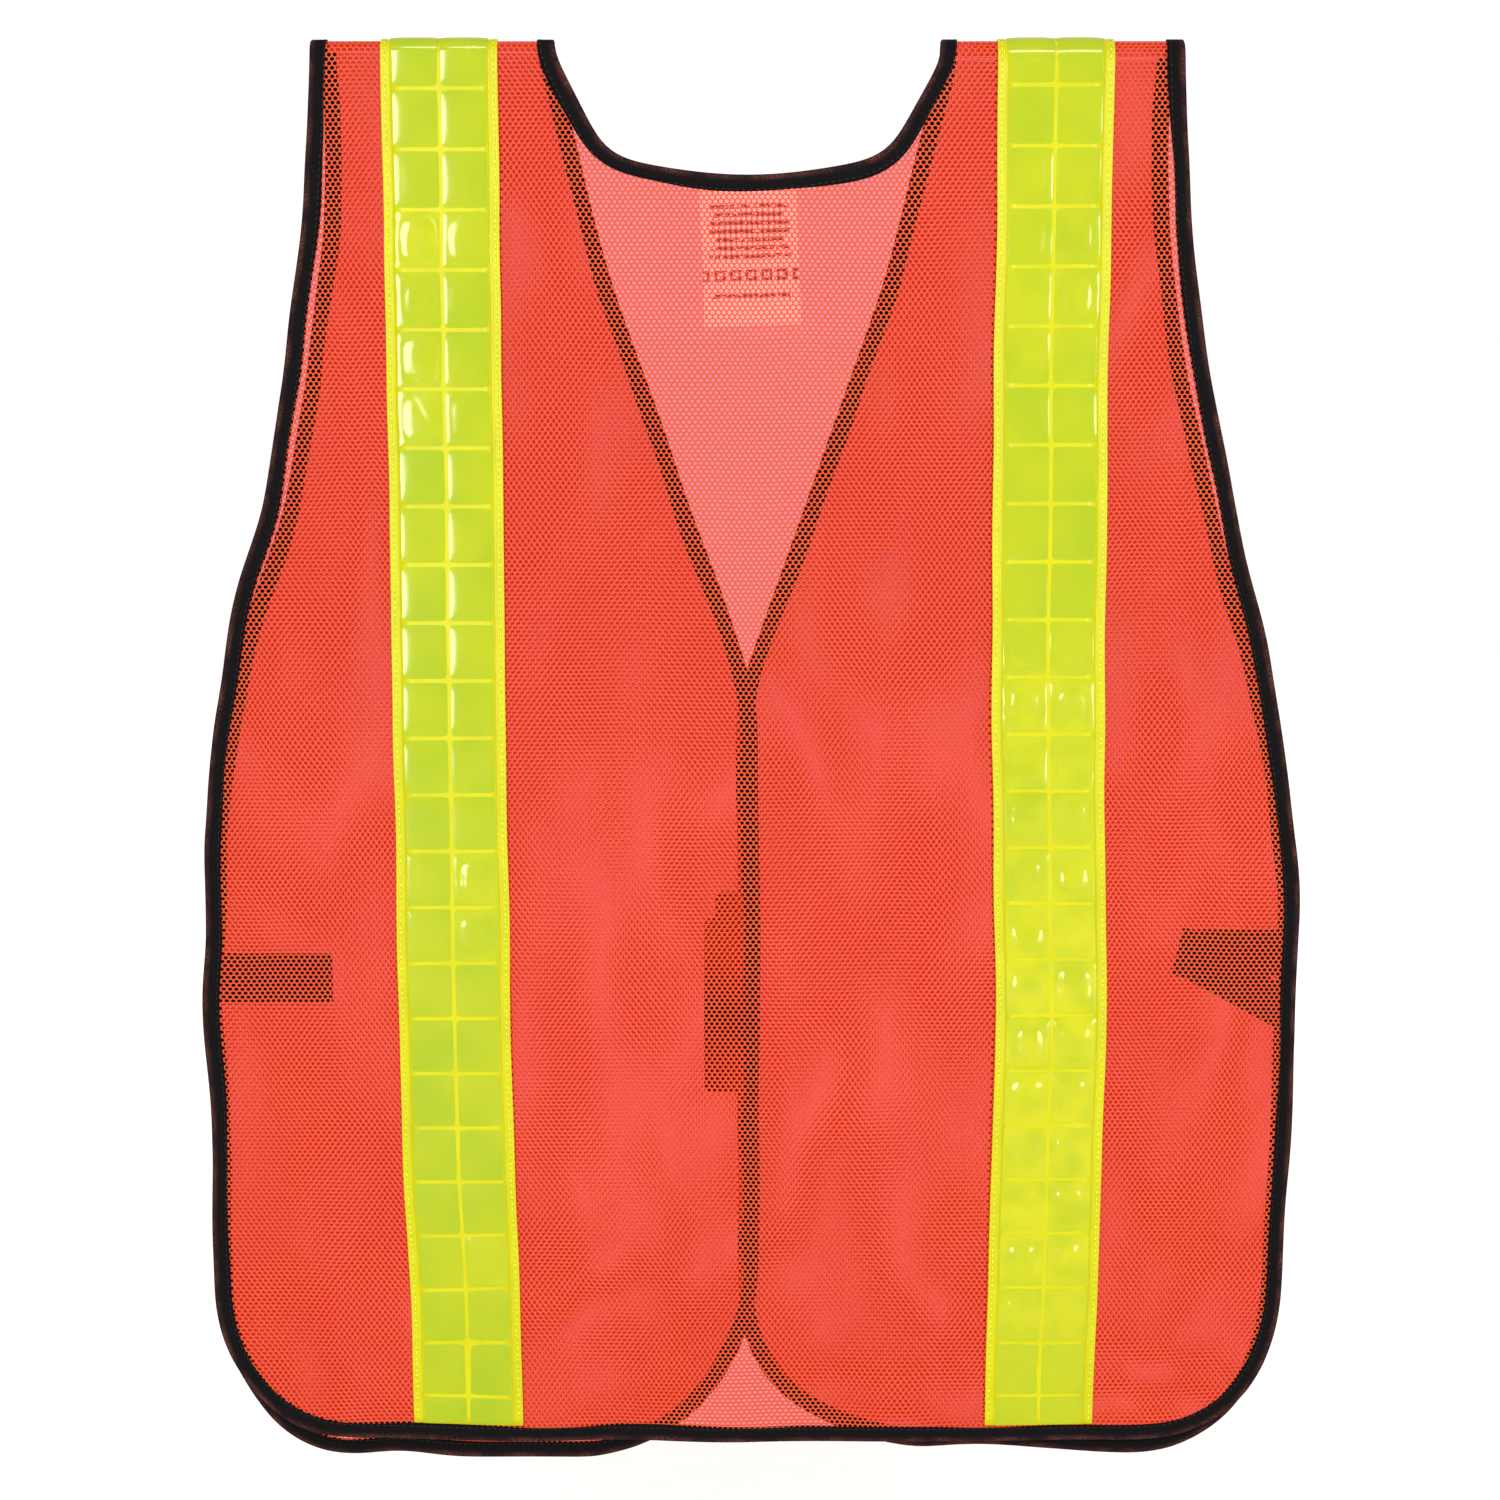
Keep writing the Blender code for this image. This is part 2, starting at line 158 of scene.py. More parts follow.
# Where the cloth is pulled as it hangs: the place, its reach across and down, the pull, and the
# layer that it pulls, 0 for the back and 1 for the fronts, or both.
PULLS = (
    ((0.138, -0.45), (0.13, 0.13), (4.5 * MM, 0), None),
    ((-0.13, -0.63), (0.10, 0.10), (4.0 * MM, 0), None),
    ((0.134, -0.64), (0.10, 0.10), (1.5 * MM, 0), None),
    ((-0.22, -0.17), (0.05, 0.12), (5.5 * MM, 0), 1),
    ((0.22, -0.15), (0.05, 0.11), (-4.0 * MM, 0), 1),
    ((-0.15, -0.66), (0.06, 0.03), (0, -1.5 * MM), 1),
    ((-0.167, -0.66), (0.02, 0.03), (0, 3.5 * MM), 1),
    ((0.165, -0.66), (0.07, 0.05), (0, -6.5 * MM), 1),
    ((0.07, -0.66), (0.03, 0.04), (0, -4.0 * MM), 1),
)


def hung(place):
    """Where a place of the flat vest comes to lie, with the slack of a hanging vest."""
    x, y, z = place
    away = smooth(-z / 0.10)
    share = min(max((y - BACK_Y) / (FRONT_Y[LEFT] - BACK_Y), 0.0), 1.0)
    back = 2.4 * MM * swell(x, z, 0.17, 1) + 0.9 * MM * swell(x, z, 0.06, 2)
    front = 1.8 * MM * swell(x, z, 0.15, 3) + 0.7 * MM * swell(x, z, 0.07, 4)
    slack = 0.35 + 0.65 * smooth((abs(x) - 0.17) / 0.06)
    sway = slack * (2.4 * MM * swell(x, z, 0.05, 5) + 1.2 * MM * swell(x, z, 0.11, 6))
    drop = 2.0 * MM * swell(x, z, 0.07, 7 + 2 * round(share)) * smooth((-0.45 - z) / 0.15)
    moved = Vector((sway, back + (front - back) * share, drop)) * away
    for (at_x, at_z), (wide, tall), (pull_x, pull_z), layer in PULLS:
        hold = math.exp(-(((x - at_x) / wide) ** 2) - ((z - at_z) / tall) ** 2)
        if layer is not None:
            hold *= share if layer else 1 - share
        moved += Vector((pull_x * hold, 0, pull_z * hold)) * away
    return Vector(place) + moved


# Materials.


def linear(code):
    """An sRGB hex colour as linear RGBA."""
    parts = [int(code[i : i + 2], 16) / 255 for i in (1, 3, 5)]
    curve = [c / 12.92 if c <= 0.04045 else ((c + 0.055) / 1.055) ** 2.4 for c in parts]
    return (*curve, 1.0)


def node(tree, kind, inputs=(), output=0, **settings):
    """Adds a node with its properties, and gives one of its outputs. A dot parts a kind from its
    operation. The inputs come by name, or in order, each a value to set or a socket to link."""
    kind, _, operation = kind.partition(".")
    made = tree.nodes.new("ShaderNode" + kind)
    if operation:
        made.operation = operation
    for name, value in settings.items():
        setattr(made, name, value)
    sockets = [s for s in made.inputs if s.enabled]
    for key, value in inputs.items() if isinstance(inputs, dict) else enumerate(inputs):
        socket = made.inputs[key] if isinstance(key, str) else sockets[key]
        if isinstance(value, bpy.types.NodeSocket):
            tree.links.new(value, socket)
        else:
            socket.default_value = value
    if isinstance(output, str):
        return made.outputs[output]
    shown = [s for s in made.outputs if s.enabled]
    return shown[output] if shown else None


def material(name, shader, *settings):
    """A named material, with the shader that a function makes with the node adder it is given."""
    made = bpy.data.materials.new(name)
    made.use_nodes = True
    made.node_tree.nodes.clear()
    add = partial(node, made.node_tree)
    add("OutputMaterial", {"Surface": shader(add, *settings)})
    return made


EASE = {"interpolation_type": "SMOOTHSTEP"}
COLOURS = {"data_type": "RGBA"}


def grains(coords, size, detail=2.0):
    """A noise texture's inputs, for grains of this size."""
    return {"Vector": coords, "Scale": 1 / size, "Detail": detail, "Roughness": 0.6}


def knit_cells(add, coords, across, along):
    """How far a place is from the nearest hole's centre, in half widths of the staggered cell."""
    scaled = add("VectorMath.MULTIPLY", (coords, (1 / across, 1 / along, 0)))
    lengths = []
    for shift in (0.0, 0.5):
        moved = add("VectorMath.ADD", (scaled, (shift, shift, 0)))
        cell = add("VectorMath.FRACTION", (moved,))
        centred = add("VectorMath.SUBTRACT", (cell, (0.5, 0.5, 0)))
        wide = add("VectorMath.MULTIPLY", (centred, (2, 3.2, 0)))
        lengths.append(add("VectorMath.LENGTH", (wide,)))
    return add("Math.MINIMUM", lengths)


def mesh_cloth(add, cloth):
    """Warp-knitted polyester mesh, dyed fluorescent red-orange: matt yarn round small staggered
    holes. What lies behind shows through them coloured pink, a painted shading and painted red
    bounce light that stand in for the shaded space behind the cloth. The yarn is painted as giving
    off red light of its own, standing in for its fluorescence and for light that passes through it
    from the other layer, and between the yarns its colour is a painted shading. The knit strays in
    long waves, so that two layers show soft bands where holes fall together."""
    uv = add("UVMap", uv_map="pattern")
    long_waves = add("VectorMath.MULTIPLY", (uv, (1, 0.4, 0)))
    drift = add("TexNoise", {"Vector": long_waves, "Scale": 20.0, "Detail": 1.0}, output="Color")
    swing = add("VectorMath.SUBTRACT", (drift, (0.5, 0.5, 0.5)))
    swing = add("VectorMath.MULTIPLY", (swing, (cloth.drift, cloth.drift / 2, 0)))
    coords = add("VectorMath.ADD", (uv, swing))
    distance = knit_cells(add, coords, cloth.hole_across, cloth.hole_along)
    edge = (cloth.hole_size - 0.09, cloth.hole_size + 0.09, 0, 1)
    solid = add("MapRange", (distance, *edge), **EASE)
    yarn = add("TexNoise", grains(uv, 0.7 * MM, 3.0))
    patches = add("TexNoise", grains(uv, 60 * MM, 3.0))
    open_knit = add("MapRange", (patches, 0.35, 0.65, 0, 1), **EASE)
    colour = add("Mix", (open_knit, (*cloth.deep, 1), (*cloth.bright, 1)), **COLOURS)
    # Painted shading: the colour darkens in the gaps between the yarns, where shadow falls.
    yarn_gap_shade_mask = add("MapRange", (yarn, 0.3, 0.8, 0, 0.4), **EASE)
    colour = add("Mix", (yarn_gap_shade_mask, colour, (*cloth.shade, 1)), **COLOURS)
    round_hole = add("MapRange", (distance, 0.6, 1.0, 0, 1), **EASE)
    height = add("Math.MULTIPLY_ADD", (yarn, 0.4, round_hole))
    relief = add("Bump", {"Height": height, "Strength": 0.35, "Distance": 0.4 * MM})
    threads = add(
        "BsdfPrincipled",
        {
            "Base Color": colour,
            "Roughness": 0.85,
            "Specular IOR Level": 0.05,
            "Normal": relief,
            # Painted light: the yarn gives off red light of its own, though it is no lamp, standing in for
            # its fluorescence and for light passing through it from the other layer.
            "Emission Color": (*cloth.painted_glow_colour, 1),
            "Emission Strength": cloth.painted_glow_strength,
        },
    )
    # Painted shading: a hole lets through only a pink share of what lies behind, standing in for the shadow
    # and red bounce light behind the cloth.
    hole = add("BsdfTransparent", {"Color": (*cloth.hole_painted_shading, 1)})
    return add("MixShader", (solid, hole, threads))


def binding_knit(add, binding):
    """Knitted polyester fold-over binding: matt black loops, thinner at the folded edge, where
    the orange cloth inside shows through as brown specks."""
    uv = add("UVMap", uv_map="pattern")
    from_fold = add("SeparateXYZ", (uv,), output="Y")
    near_fold = add("MapRange", (from_fold, 3.6 * MM, 0.8 * MM, 0, 1), **EASE)
    specks = add("TexNoise", grains(uv, 0.8 * MM, 3.0))
    specks = add("MapRange", (specks, 0.36, 0.6, 0, 1), **EASE)
    patches = add("TexNoise", grains(uv, 16 * MM))
    patches = add("MapRange", (patches, 0.35, 0.7, 0.15, 1), **EASE)
    show = add("Math.MULTIPLY", (near_fold, specks))
    show = add("Math.MULTIPLY", (show, patches))
    colour = add("Mix", (show, (*binding.black, 1), (*binding.brown, 1)), **COLOURS)
    loops = knit_cells(add, uv, 1.3 * MM, 1.5 * MM)
    height = add("Math.MULTIPLY_ADD", (specks, 0.3, loops))
    relief = add("Bump", {"Height": height, "Strength": 0.6, "Distance": 0.3 * MM})
    return add(
        "BsdfPrincipled",
        {
            "Base Color": colour,
            "Roughness": add("MapRange", (loops, 0.1, 1.0, 0.7, 0.9), **EASE),
            "Specular IOR Level": 0.06,
            "Normal": relief,
        },
    )


def vinyl(add, tape):
    """Calendered PVC, fluorescent lime: smooth and half glossy, with a soft orange-peel skin."""
    uv = add("UVMap", uv_map="pattern")
    patches = add("TexNoise", grains(uv, 30 * MM, 3.0))
    patches = add("MapRange", (patches, 0.3, 0.7, 0, 1), **EASE)
    colour = add("Mix", (patches, (*tape.border, 1), (*tape.border_deep, 1)), **COLOURS)
    peel = add("TexNoise", grains(uv, 1.6 * MM))
    return add(
        "BsdfPrincipled",
        {
            "Base Color": colour,
            "Roughness": add("MapRange", (peel, 0.2, 0.8, 0.3, 0.42), **EASE),
            "Specular IOR Level": 0.14,
            "Normal": add("Bump", {"Height": peel, "Strength": 0.2, "Distance": 0.15 * MM}),
            # Painted light: the vinyl gives off a little light of its own in its border colour, though it is
            # no lamp.
            "Emission Color": (*tape.border, 1),
            "Emission Strength": tape.painted_glow_strength,
        },
    )


def prisms_in_vinyl(add, tape):
    """Prismatic vinyl: a clear glossy skin over rows of tiny prisms, which turn the lime a shade
    greener. Where the film is wrinkled, its colour is painted towards the border's yellow, a painted
    light that stands in for the light that wrinkled film catches. The cells also give off a little
    painted light of their own. The prisms are about 0.3 mm apart, and drawn at 0.9 mm so that they
    show."""
    uv = add("UVMap", uv_map="pattern")
    patches = add("TexNoise", grains(uv, 34 * MM, 1.0))
    patches = add("MapRange", (patches, 0.3, 0.7, 0, 1), **EASE)
    colour = add("Mix", (patches, (*tape.cell_green, 1), (*tape.cell_lime, 1)), **COLOURS)
    crease = add("Attribute", output="Fac", attribute_name="crease")
    # Painted light: creased cells are coloured towards the border's yellow, standing in for the light that
    # wrinkled film catches.
    painted_crease_light = add("TexNoise", grains(uv, 15 * MM, 1.0))
    painted_crease_light = add("MapRange", (painted_crease_light, 0.3, 0.7, 0.45, 1), **EASE)
    painted_crease_light = add("Math.MULTIPLY", (crease, painted_crease_light))
    colour = add("Mix", (painted_crease_light, colour, (*tape.border, 1)), **COLOURS)
    prisms = knit_cells(add, uv, 0.9 * MM, 1.56 * MM)
    deep = add("MapRange", (prisms, 0.2, 1.0, 0, 0.25), **EASE)
    return add(
        "BsdfPrincipled",
        {
            "Base Color": add("Mix", (deep, colour, (*tape.cell_deep, 1)), **COLOURS),
            "Roughness": add("MapRange", (prisms, 0.0, 1.0, 0.38, 0.5), **EASE),
            "Specular IOR Level": 0.03,
            "IOR": 1.53,
            "Coat Weight": 0.45,
            "Coat Roughness": 0.12,
            "Coat IOR": 1.53,
            "Normal": add("Bump", {"Height": prisms, "Strength": 0.12, "Distance": 0.1 * MM}),
            # Painted light: the cells give off a little light of their own in their lime colour, though they
            # are no lamp.
            "Emission Color": (*tape.cell_lime, 1),
            "Emission Strength": tape.painted_glow_strength,
        },
    )


def woven_elastic(add):
    """Woven elastic: black polyester over rubber cords, ribbed across its width every 1.1 mm."""
    uv = add("UVMap", uv_map="pattern")
    waves = []
    for axis, pitch in (("Y", 1.1 * MM), ("X", 0.8 * MM)):
        place = add("SeparateXYZ", (uv,), output=axis)
        turn = add("Math.MULTIPLY", (place, 2 * math.pi / pitch))
        waves.append(add("Math.SINE", (turn,)))
    ribs, picks = waves
    weave = add("Math.MULTIPLY_ADD", (picks, 0.5, ribs))
    painted_lit_tops = add("MapRange", (weave, -1.0, 1.5, 0, 1), **EASE)
    return add(
        "BsdfPrincipled",
        {
            # Painted highlight: the tops of the ribs are coloured lighter, as where they catch the light,
            # and the hollows darker.
            "Base Color": add("Mix", (painted_lit_tops, linear("#0B0A0C"), linear("#2A2728")), **COLOURS),
            "Roughness": add("MapRange", (weave, -1.0, 1.5, 0.9, 0.7), **EASE),
            "Sheen Weight": 0.1,
            "Specular IOR Level": 0.3,
            "Normal": add("Bump", {"Height": weave, "Strength": 0.5, "Distance": 0.25 * MM}),
        },
    )


def pile(add, tone, grain):
    """Nylon pile: black, soft, and lighter where the loops or hooks catch the light."""
    coords = add("TexCoord", output="Object")
    fuzz = add("TexNoise", grains(coords, grain, 4.0))
    painted_lit_tops = add("MapRange", (fuzz, 0.35, 0.7, 0, 1), **EASE)
    return add(
        "BsdfPrincipled",
        {
            # Painted highlight: the pile's tops are coloured lighter where they catch the light.
            "Base Color": add("Mix", (painted_lit_tops, linear("#0D0C0D"), linear(tone)), **COLOURS),
            "Roughness": add("MapRange", (fuzz, 0.3, 0.7, 0.95, 0.65), **EASE),
            "Sheen Weight": 0.2,
            "Normal": add("Bump", {"Height": fuzz, "Strength": 0.7, "Distance": 0.3 * MM}),
        },
    )


def thread(add, tone, twist_groove_shading):
    """Twisted polyester sewing thread: a slight shine, with a twist every 0.5 mm."""
    coords = add("TexCoord", output="Object")
    wave = {"Vector": coords, "Scale": 1 / (3 * MM), "Distortion": 2.0, "Detail": 1.0}
    twist = add("TexWave", wave, output="Fac", bands_direction="DIAGONAL")
    return add(
        "BsdfPrincipled",
        {
            # Painted shading: the colour darkens in bands along the twist, where the grooves between the
            # plies lie in shadow.
            "Base Color": add("Mix", (twist, linear(tone), linear(twist_groove_shading)), **COLOURS),
            "Roughness": add("MapRange", (twist, 0.0, 1.0, 0.55, 0.75), **EASE),
            "Specular IOR Level": 0.25,
        },
    )


def printed_satin(add, label):
    """Printed satin ribbon: white and smooth, with plain grey bars for its lines of print and a
    row of small open squares for its symbols. It is painted as giving off its own colours as
    light, though it is no lamp, so that it shows bright through the mesh."""
    middle_x, squares_y, square_pitch = 21.5 * MM, 39 * MM, 7 * MM
    uv = add("UVMap", uv_map="pattern")
    across = add("SeparateXYZ", (uv,), output="X")
    down = add("SeparateXYZ", (uv,), output="Y")
    column = add("Math.SUBTRACT", (across, 4 * MM))
    column = add("Math.FRACT", (add("Math.DIVIDE", (column, square_pitch)),))
    offsets = []
    for value, centre in ((across, middle_x), (column, 0.5), (down, squares_y)):
        offset = add("Math.SUBTRACT", (value, centre))
        offsets.append(add("Math.ABSOLUTE", (offset,)))
    from_middle, offset_x, offset_y = offsets
    gaps = add("Math.GREATER_THAN", (add("TexNoise", grains(uv, 1.6 * MM, 1.0)), 0.42))
    # Each block of bars: where it starts and ends down the label, and the bars' spacing.
    marks = []
    for start, end, spacing in ((8, 32, 3.6), (47, 50.5, 3.5)):
        row = add("Math.SUBTRACT", (down, start * MM))
        row = add("Math.DIVIDE", (row, spacing * MM))
        ragged = {"W": add("Math.FLOOR", (row,))}
        ragged = add("TexWhiteNoise", ragged, noise_dimensions="1D")
        reach = add("MapRange", (ragged, 0.0, 1.0, 15.5 * MM, 18.5 * MM), **EASE)
        tests = (
            (add("Math.FRACT", (row,)), 0.55, "LESS_THAN"),
            (down, start * MM, "GREATER_THAN"),
            (down, end * MM, "LESS_THAN"),
            (from_middle, reach, "LESS_THAN"),
        )
        block = gaps
        for value, limit, operation in tests:
            passed = add(f"Math.{operation}", (value, limit))
            block = add("Math.MULTIPLY", (block, passed))
        marks.append(block)
    # The open squares, by how far a place is from the nearest one's middle.
    offset_x = add("Math.MULTIPLY", (offset_x, square_pitch))
    ring = add("Math.MAXIMUM", (offset_x, offset_y))
    outside = add("Math.GREATER_THAN", (ring, 1.2 * MM))
    inside = add("Math.LESS_THAN", (ring, 2.5 * MM))
    printed = add("Math.MULTIPLY", (outside, inside))
    for block in marks:
        printed = add("Math.MAXIMUM", (printed, block))
    colour = add("Mix", (printed, (*label.white, 1), (*label.ink, 1)), **COLOURS)
    weave = add("Math.MULTIPLY", (down, 2 * math.pi / (0.5 * MM)))
    weave = add("Math.SINE", (weave,))
    return add(
        "BsdfPrincipled",
        {
            "Base Color": colour,
            "Roughness": 0.5,
            "Normal": add("Bump", {"Height": weave, "Strength": 0.15, "Distance": 0.1 * MM}),
            # Painted light: the label gives off its own colours as light, though it is no lamp, so that it
            # shows bright through the mesh.
            "Emission Color": colour,
            "Emission Strength": label.painted_glow_strength,
        },
    )


def painted_board(add):
    """Matt painted board for the floor, pale and even."""
    coords = add("TexCoord", output="Object")
    grain = add("TexNoise", grains(coords, 20 * MM))
    colour = add("Mix", (grain, linear("#FBFBFB"), linear("#F7F7F7")), **COLOURS)
    return add("BsdfPrincipled", {"Base Color": colour, "Roughness": 0.9})


# Shapes.


def surface(columns, rows, place, paint, closed=False):
    """A grid bent so that its place (u, t), each from 0 to 1, goes to place(u, t), with
    paint(u, t) as its pattern coordinates. A closed one is joined along u."""
    bm = bmesh.new()
    bmesh.ops.create_grid(bm, x_segments=columns, y_segments=rows, size=0.5)
    layer = bm.loops.layers.uv.new("pattern")
    for face in bm.faces:
        for loop in face.loops:
            loop[layer].uv = paint(loop.vert.co.x + 0.5, loop.vert.co.y + 0.5)
    for vert in bm.verts:
        vert.co = place(vert.co.x + 0.5, vert.co.y + 0.5)
    if closed:
        bmesh.ops.remove_doubles(bm, verts=bm.verts, dist=1e-7)
    return bm


def add_object(name, bm, *materials):
    """The mesh as a smooth-shaded object at the origin."""
    mesh = bpy.data.meshes.new(name)
    bm.to_mesh(mesh)
    bm.free()
    for item in materials:
        mesh.materials.append(item)
    mesh.polygons.foreach_set("use_smooth", [True] * len(mesh.polygons))
    piece = bpy.data.objects.new(name, mesh)
    bpy.context.scene.collection.objects.link(piece)
    return piece


def hang_up(bm, side):
    """Takes a mesh from the pattern to the hanging vest. With no side, each half takes its own."""
    for vert in bm.verts:
        x, s, n = vert.co
        own = side or (RIGHT if x > 0 else LEFT)
        vert.co = hung(on_body(x, s, n, own))
    return bm


def settle(bm, upright=True):
    """Gives a mesh already in its place the slack of the hanging vest. One that isn't upright has
    its places as (x, z, y)."""
    for vert in bm.verts:
        vert.co = hung(vert.co if upright else vert.co.xzy)
    return bm


def face_outwards(bm):
    bmesh.ops.recalc_face_normals(bm, faces=bm.faces)
    if bm.calc_volume(signed=True) < 0:
        bmesh.ops.reverse_faces(bm, faces=bm.faces)
    return bm


def ride_with(piece, side):
    """The back's pieces ride on the back. A front's bend from the back to the front below the
    shoulder, so that the cloth stays joined as the front swings."""
    if side is None:
        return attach(piece, "back")
    fold_end = -RADIUS[side]
    start, end = (0, FRONT_Y[side], fold_end), (0, FRONT_Y[side], fold_end - BEND_REACH)
    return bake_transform(piece, "back", f"{SIDE_NAMES[side]}_front", start=start, end=end)


# Outlines, read from the CAD panels.


def outline(panel, side):
    """The edge of a panel's outer face in the pattern, as a clockwise ring of places."""
    bm = bmesh.new()
    bm.from_mesh(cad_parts[panel].data)
    bmesh.ops.remove_doubles(bm, verts=bm.verts, dist=1e-6)
    for vert in bm.verts:
        vert.co = in_pattern(vert.co, side or (RIGHT if vert.co.x > 0 else LEFT))
    inner = [f for f in bm.faces if any(v.co.z < 0 for v in f.verts)]
    bmesh.ops.delete(bm, geom=inner, context="FACES")
    start = next(e for e in bm.edges if e.is_boundary)
    ring, edge, vert = [], start, start.verts[0]
    while True:
        ring.append(Vector((vert.co.x, vert.co.y)))
        vert = edge.other_vert(vert)
        edge = next(e for e in vert.link_edges if e.is_boundary and e is not edge)
        if edge is start:
            break
    bm.free()
    turn = sum(a.x * b.y - b.x * a.y for a, b in zip(ring, ring[1:] + ring[:1]))
    return ring[::-1] if turn > 0 else ring


def ring_area(ring):
    return abs(sum(a.x * b.y - b.x * a.y for a, b in zip(ring, ring[1:] + ring[:1]))) / 2


def is_parting(a, b, panel_is_back):
    """True where a ring's edge runs along a shoulder's parting line."""
    side = RIGHT if a.x > 0 else LEFT
    line = shoulder_end(side) if panel_is_back else shoulder_end(side) + PARTING
    return abs(a.y - line) < 0.02 * MM and abs(b.y - line) < 0.02 * MM


def bound_edges(ring, panel_is_back):
    """The ring's open runs between its parting lines, each smoothed and evenly stepped."""
    size = len(ring)
    cuts = [i for i in range(size) if is_parting(ring[i], ring[(i + 1) % size], panel_is_back)]
    runs = []
    for cut in cuts:
        i, run = (cut + 1) % size, []
        while i not in cuts:
            run.append(ring[i])
            i = (i + 1) % size
        run.append(ring[i])
        if len(run) > 2:
            runs.append(eased(evenly(run, 3 * MM)))
    return runs


def evenly(path, step):
    """The path in equal steps of about this length."""
    lengths = [0.0]
    for a, b in zip(path, path[1:]):
        lengths.append(lengths[-1] + (b - a).length)
    count = max(int(lengths[-1] / step), 2)
    places, i = [], 0
    for k in range(count + 1):
        target = lengths[-1] * k / count
        while i < len(path) - 2 and lengths[i + 1] < target:
            i += 1
        part = (target - lengths[i]) / max(lengths[i + 1] - lengths[i], 1e-9)
        places.append(path[i].lerp(path[i + 1], part))
    return places


def eased(path, rounds=6):
    """The path with its small corners rounded and its ends kept."""
    for _ in range(rounds):
        inner = [(a + 2 * b + c) / 4 for a, b, c in zip(path, path[1:], path[2:])]
        path = [path[0], *inner, path[-1]]
    return path


def inward_steps(path):
    """At each place of a clockwise path, the unit step into the cloth."""
    steps = []
    for i in range(len(path)):
        along = path[min(i + 1, len(path) - 1)] - path[max(i - 1, 0)]
        steps.append(Vector((along.y, -along.x)).normalized())
    return steps


PANELS = (
    ("back", "back_panel", None),
    ("left_front", "left_front_panel", LEFT),
    ("right_front", "right_front_panel", RIGHT),
)
RINGS = {name: outline(panel, side) for name, panel, side in PANELS}
EDGES = {name: bound_edges(RINGS[name], side is None) for name, _, side in PANELS}


# Settings that a user may change.


def colour_setting(name, code, description):
    return FloatVectorProperty(
        name=name, description=description, subtype="COLOR", default=linear(code)[:3]
    )


def length_setting(name, size, description):
    return FloatProperty(name=name, description=description, unit="LENGTH", default=size)


class VestClothSettings(bpy.types.PropertyGroup):
    hole_across: length_setting("Hole spacing across", 2.5 * MM, "From hole to hole in a row")
    hole_along: length_setting("Hole spacing along", 3.7 * MM, "From hole to hole in a column")
    hole_size: FloatProperty(name="Hole size", description="Share of the spacing", default=0.74)
    drift: length_setting("Knit drift", 5 * MM, "How far the knit strays from its lattice")
    cell: length_setting("Facet size", 6 * MM, "Size of the cloth's faces")
    # Painted light: the strength and the colour of the light that the yarn gives off of its own.
    painted_glow_strength: FloatProperty(name="Dye glow", description="Light from the fluorescent dye", default=0.5)
    painted_glow_colour: colour_setting("Dye", "#FF5A32", "What the fluorescent dye gives off")
    bright: colour_setting("Bright", "#8F4326", "Dye where the knit lies open")
    deep: colour_setting("Deep", "#8B3D25", "Dye where the knit lies closer")
    # Painted shading between the yarns.
    shade: colour_setting("Shade", "#792A20", "Between the yarns")
    # Painted shading and red bounce light, laid on what a hole lets through.
    hole_painted_shading: colour_setting("Tint", "#F8BFC5", "What a hole lets through on one face")


class VestBindingSettings(bpy.types.PropertyGroup):
    thickness: length_setting("Thickness", 2.2 * MM, "Across the folded binding")
    black: colour_setting("Black", "#090608", "The binding's knit")
    brown: colour_setting("Show-through", "#5E342E", "Where the cloth shows through the fold")
    stitch_pitch: length_setting("Stitch pitch", 3.0 * MM, "From stitch to stitch")


class VestTapeSettings(bpy.types.PropertyGroup):
    width: length_setting("Width", 50.8 * MM, "Across the tape")
    cell_pitch: length_setting("Cell pitch", 26.1 * MM, "From one row of cells to the next")
    phase: length_setting("First row", 22.4 * MM, "From the shoulder's crest to the first row line")
    column: length_setting("Column width", 21.15 * MM, "Across one column of cells")
    rib: length_setting("Rib", 1.3 * MM, "Width of the welded rib between cells")
    puff: length_setting("Puff", 1.0 * MM, "How far a cell's middle stands up")
    # Painted light: the strength of the light that the tapes' vinyl and cells give off of their own.
    painted_glow_strength: FloatProperty(name="Dye glow", description="Light from the fluorescent dye", default=0.06)
    border: colour_setting("Border", "#BCB902", "Welded borders and ribs")
    border_deep: colour_setting("Border, deep", "#B4B202", "Where the border lies in shade")
    cell_lime: colour_setting("Cell, lime", "#A2AC01", "Prismatic cells, at their brightest")
    cell_green: colour_setting("Cell, green", "#92A602", "Prismatic cells, at their greenest")
    cell_deep: colour_setting("Cell, deep", "#869A02", "Between the prisms")


class VestLabelSettings(bpy.types.PropertyGroup):
    white: colour_setting("Satin", "#FFF6E0", "The label's ribbon")
    ink: colour_setting("Ink", "#665B62", "The label's printed bars")
    lift: length_setting("Lift", 1.2 * MM, "How far the free end curls off the cloth")
    # Painted light: how strongly the label gives off light of its own.
    painted_glow_strength: FloatProperty(name="Glow", description="Light from the satin's brightener", default=1.6)


class VestStageSettings(bpy.types.PropertyGroup):
    distance: length_setting("Camera distance", 1.6, "From the camera to the vest")
    elevation: FloatProperty(name="Elevation", description="Height of the view", subtype="ANGLE",
                             default=math.radians(11))
    lens: FloatProperty(name="Lens", description="Focal length in millimetres", default=85)
    world: FloatProperty(name="Surround", description="Brightness of the surround", default=1.06)


# Operators.


class VestOperator:
    bl_options = {"REGISTER", "UNDO"}


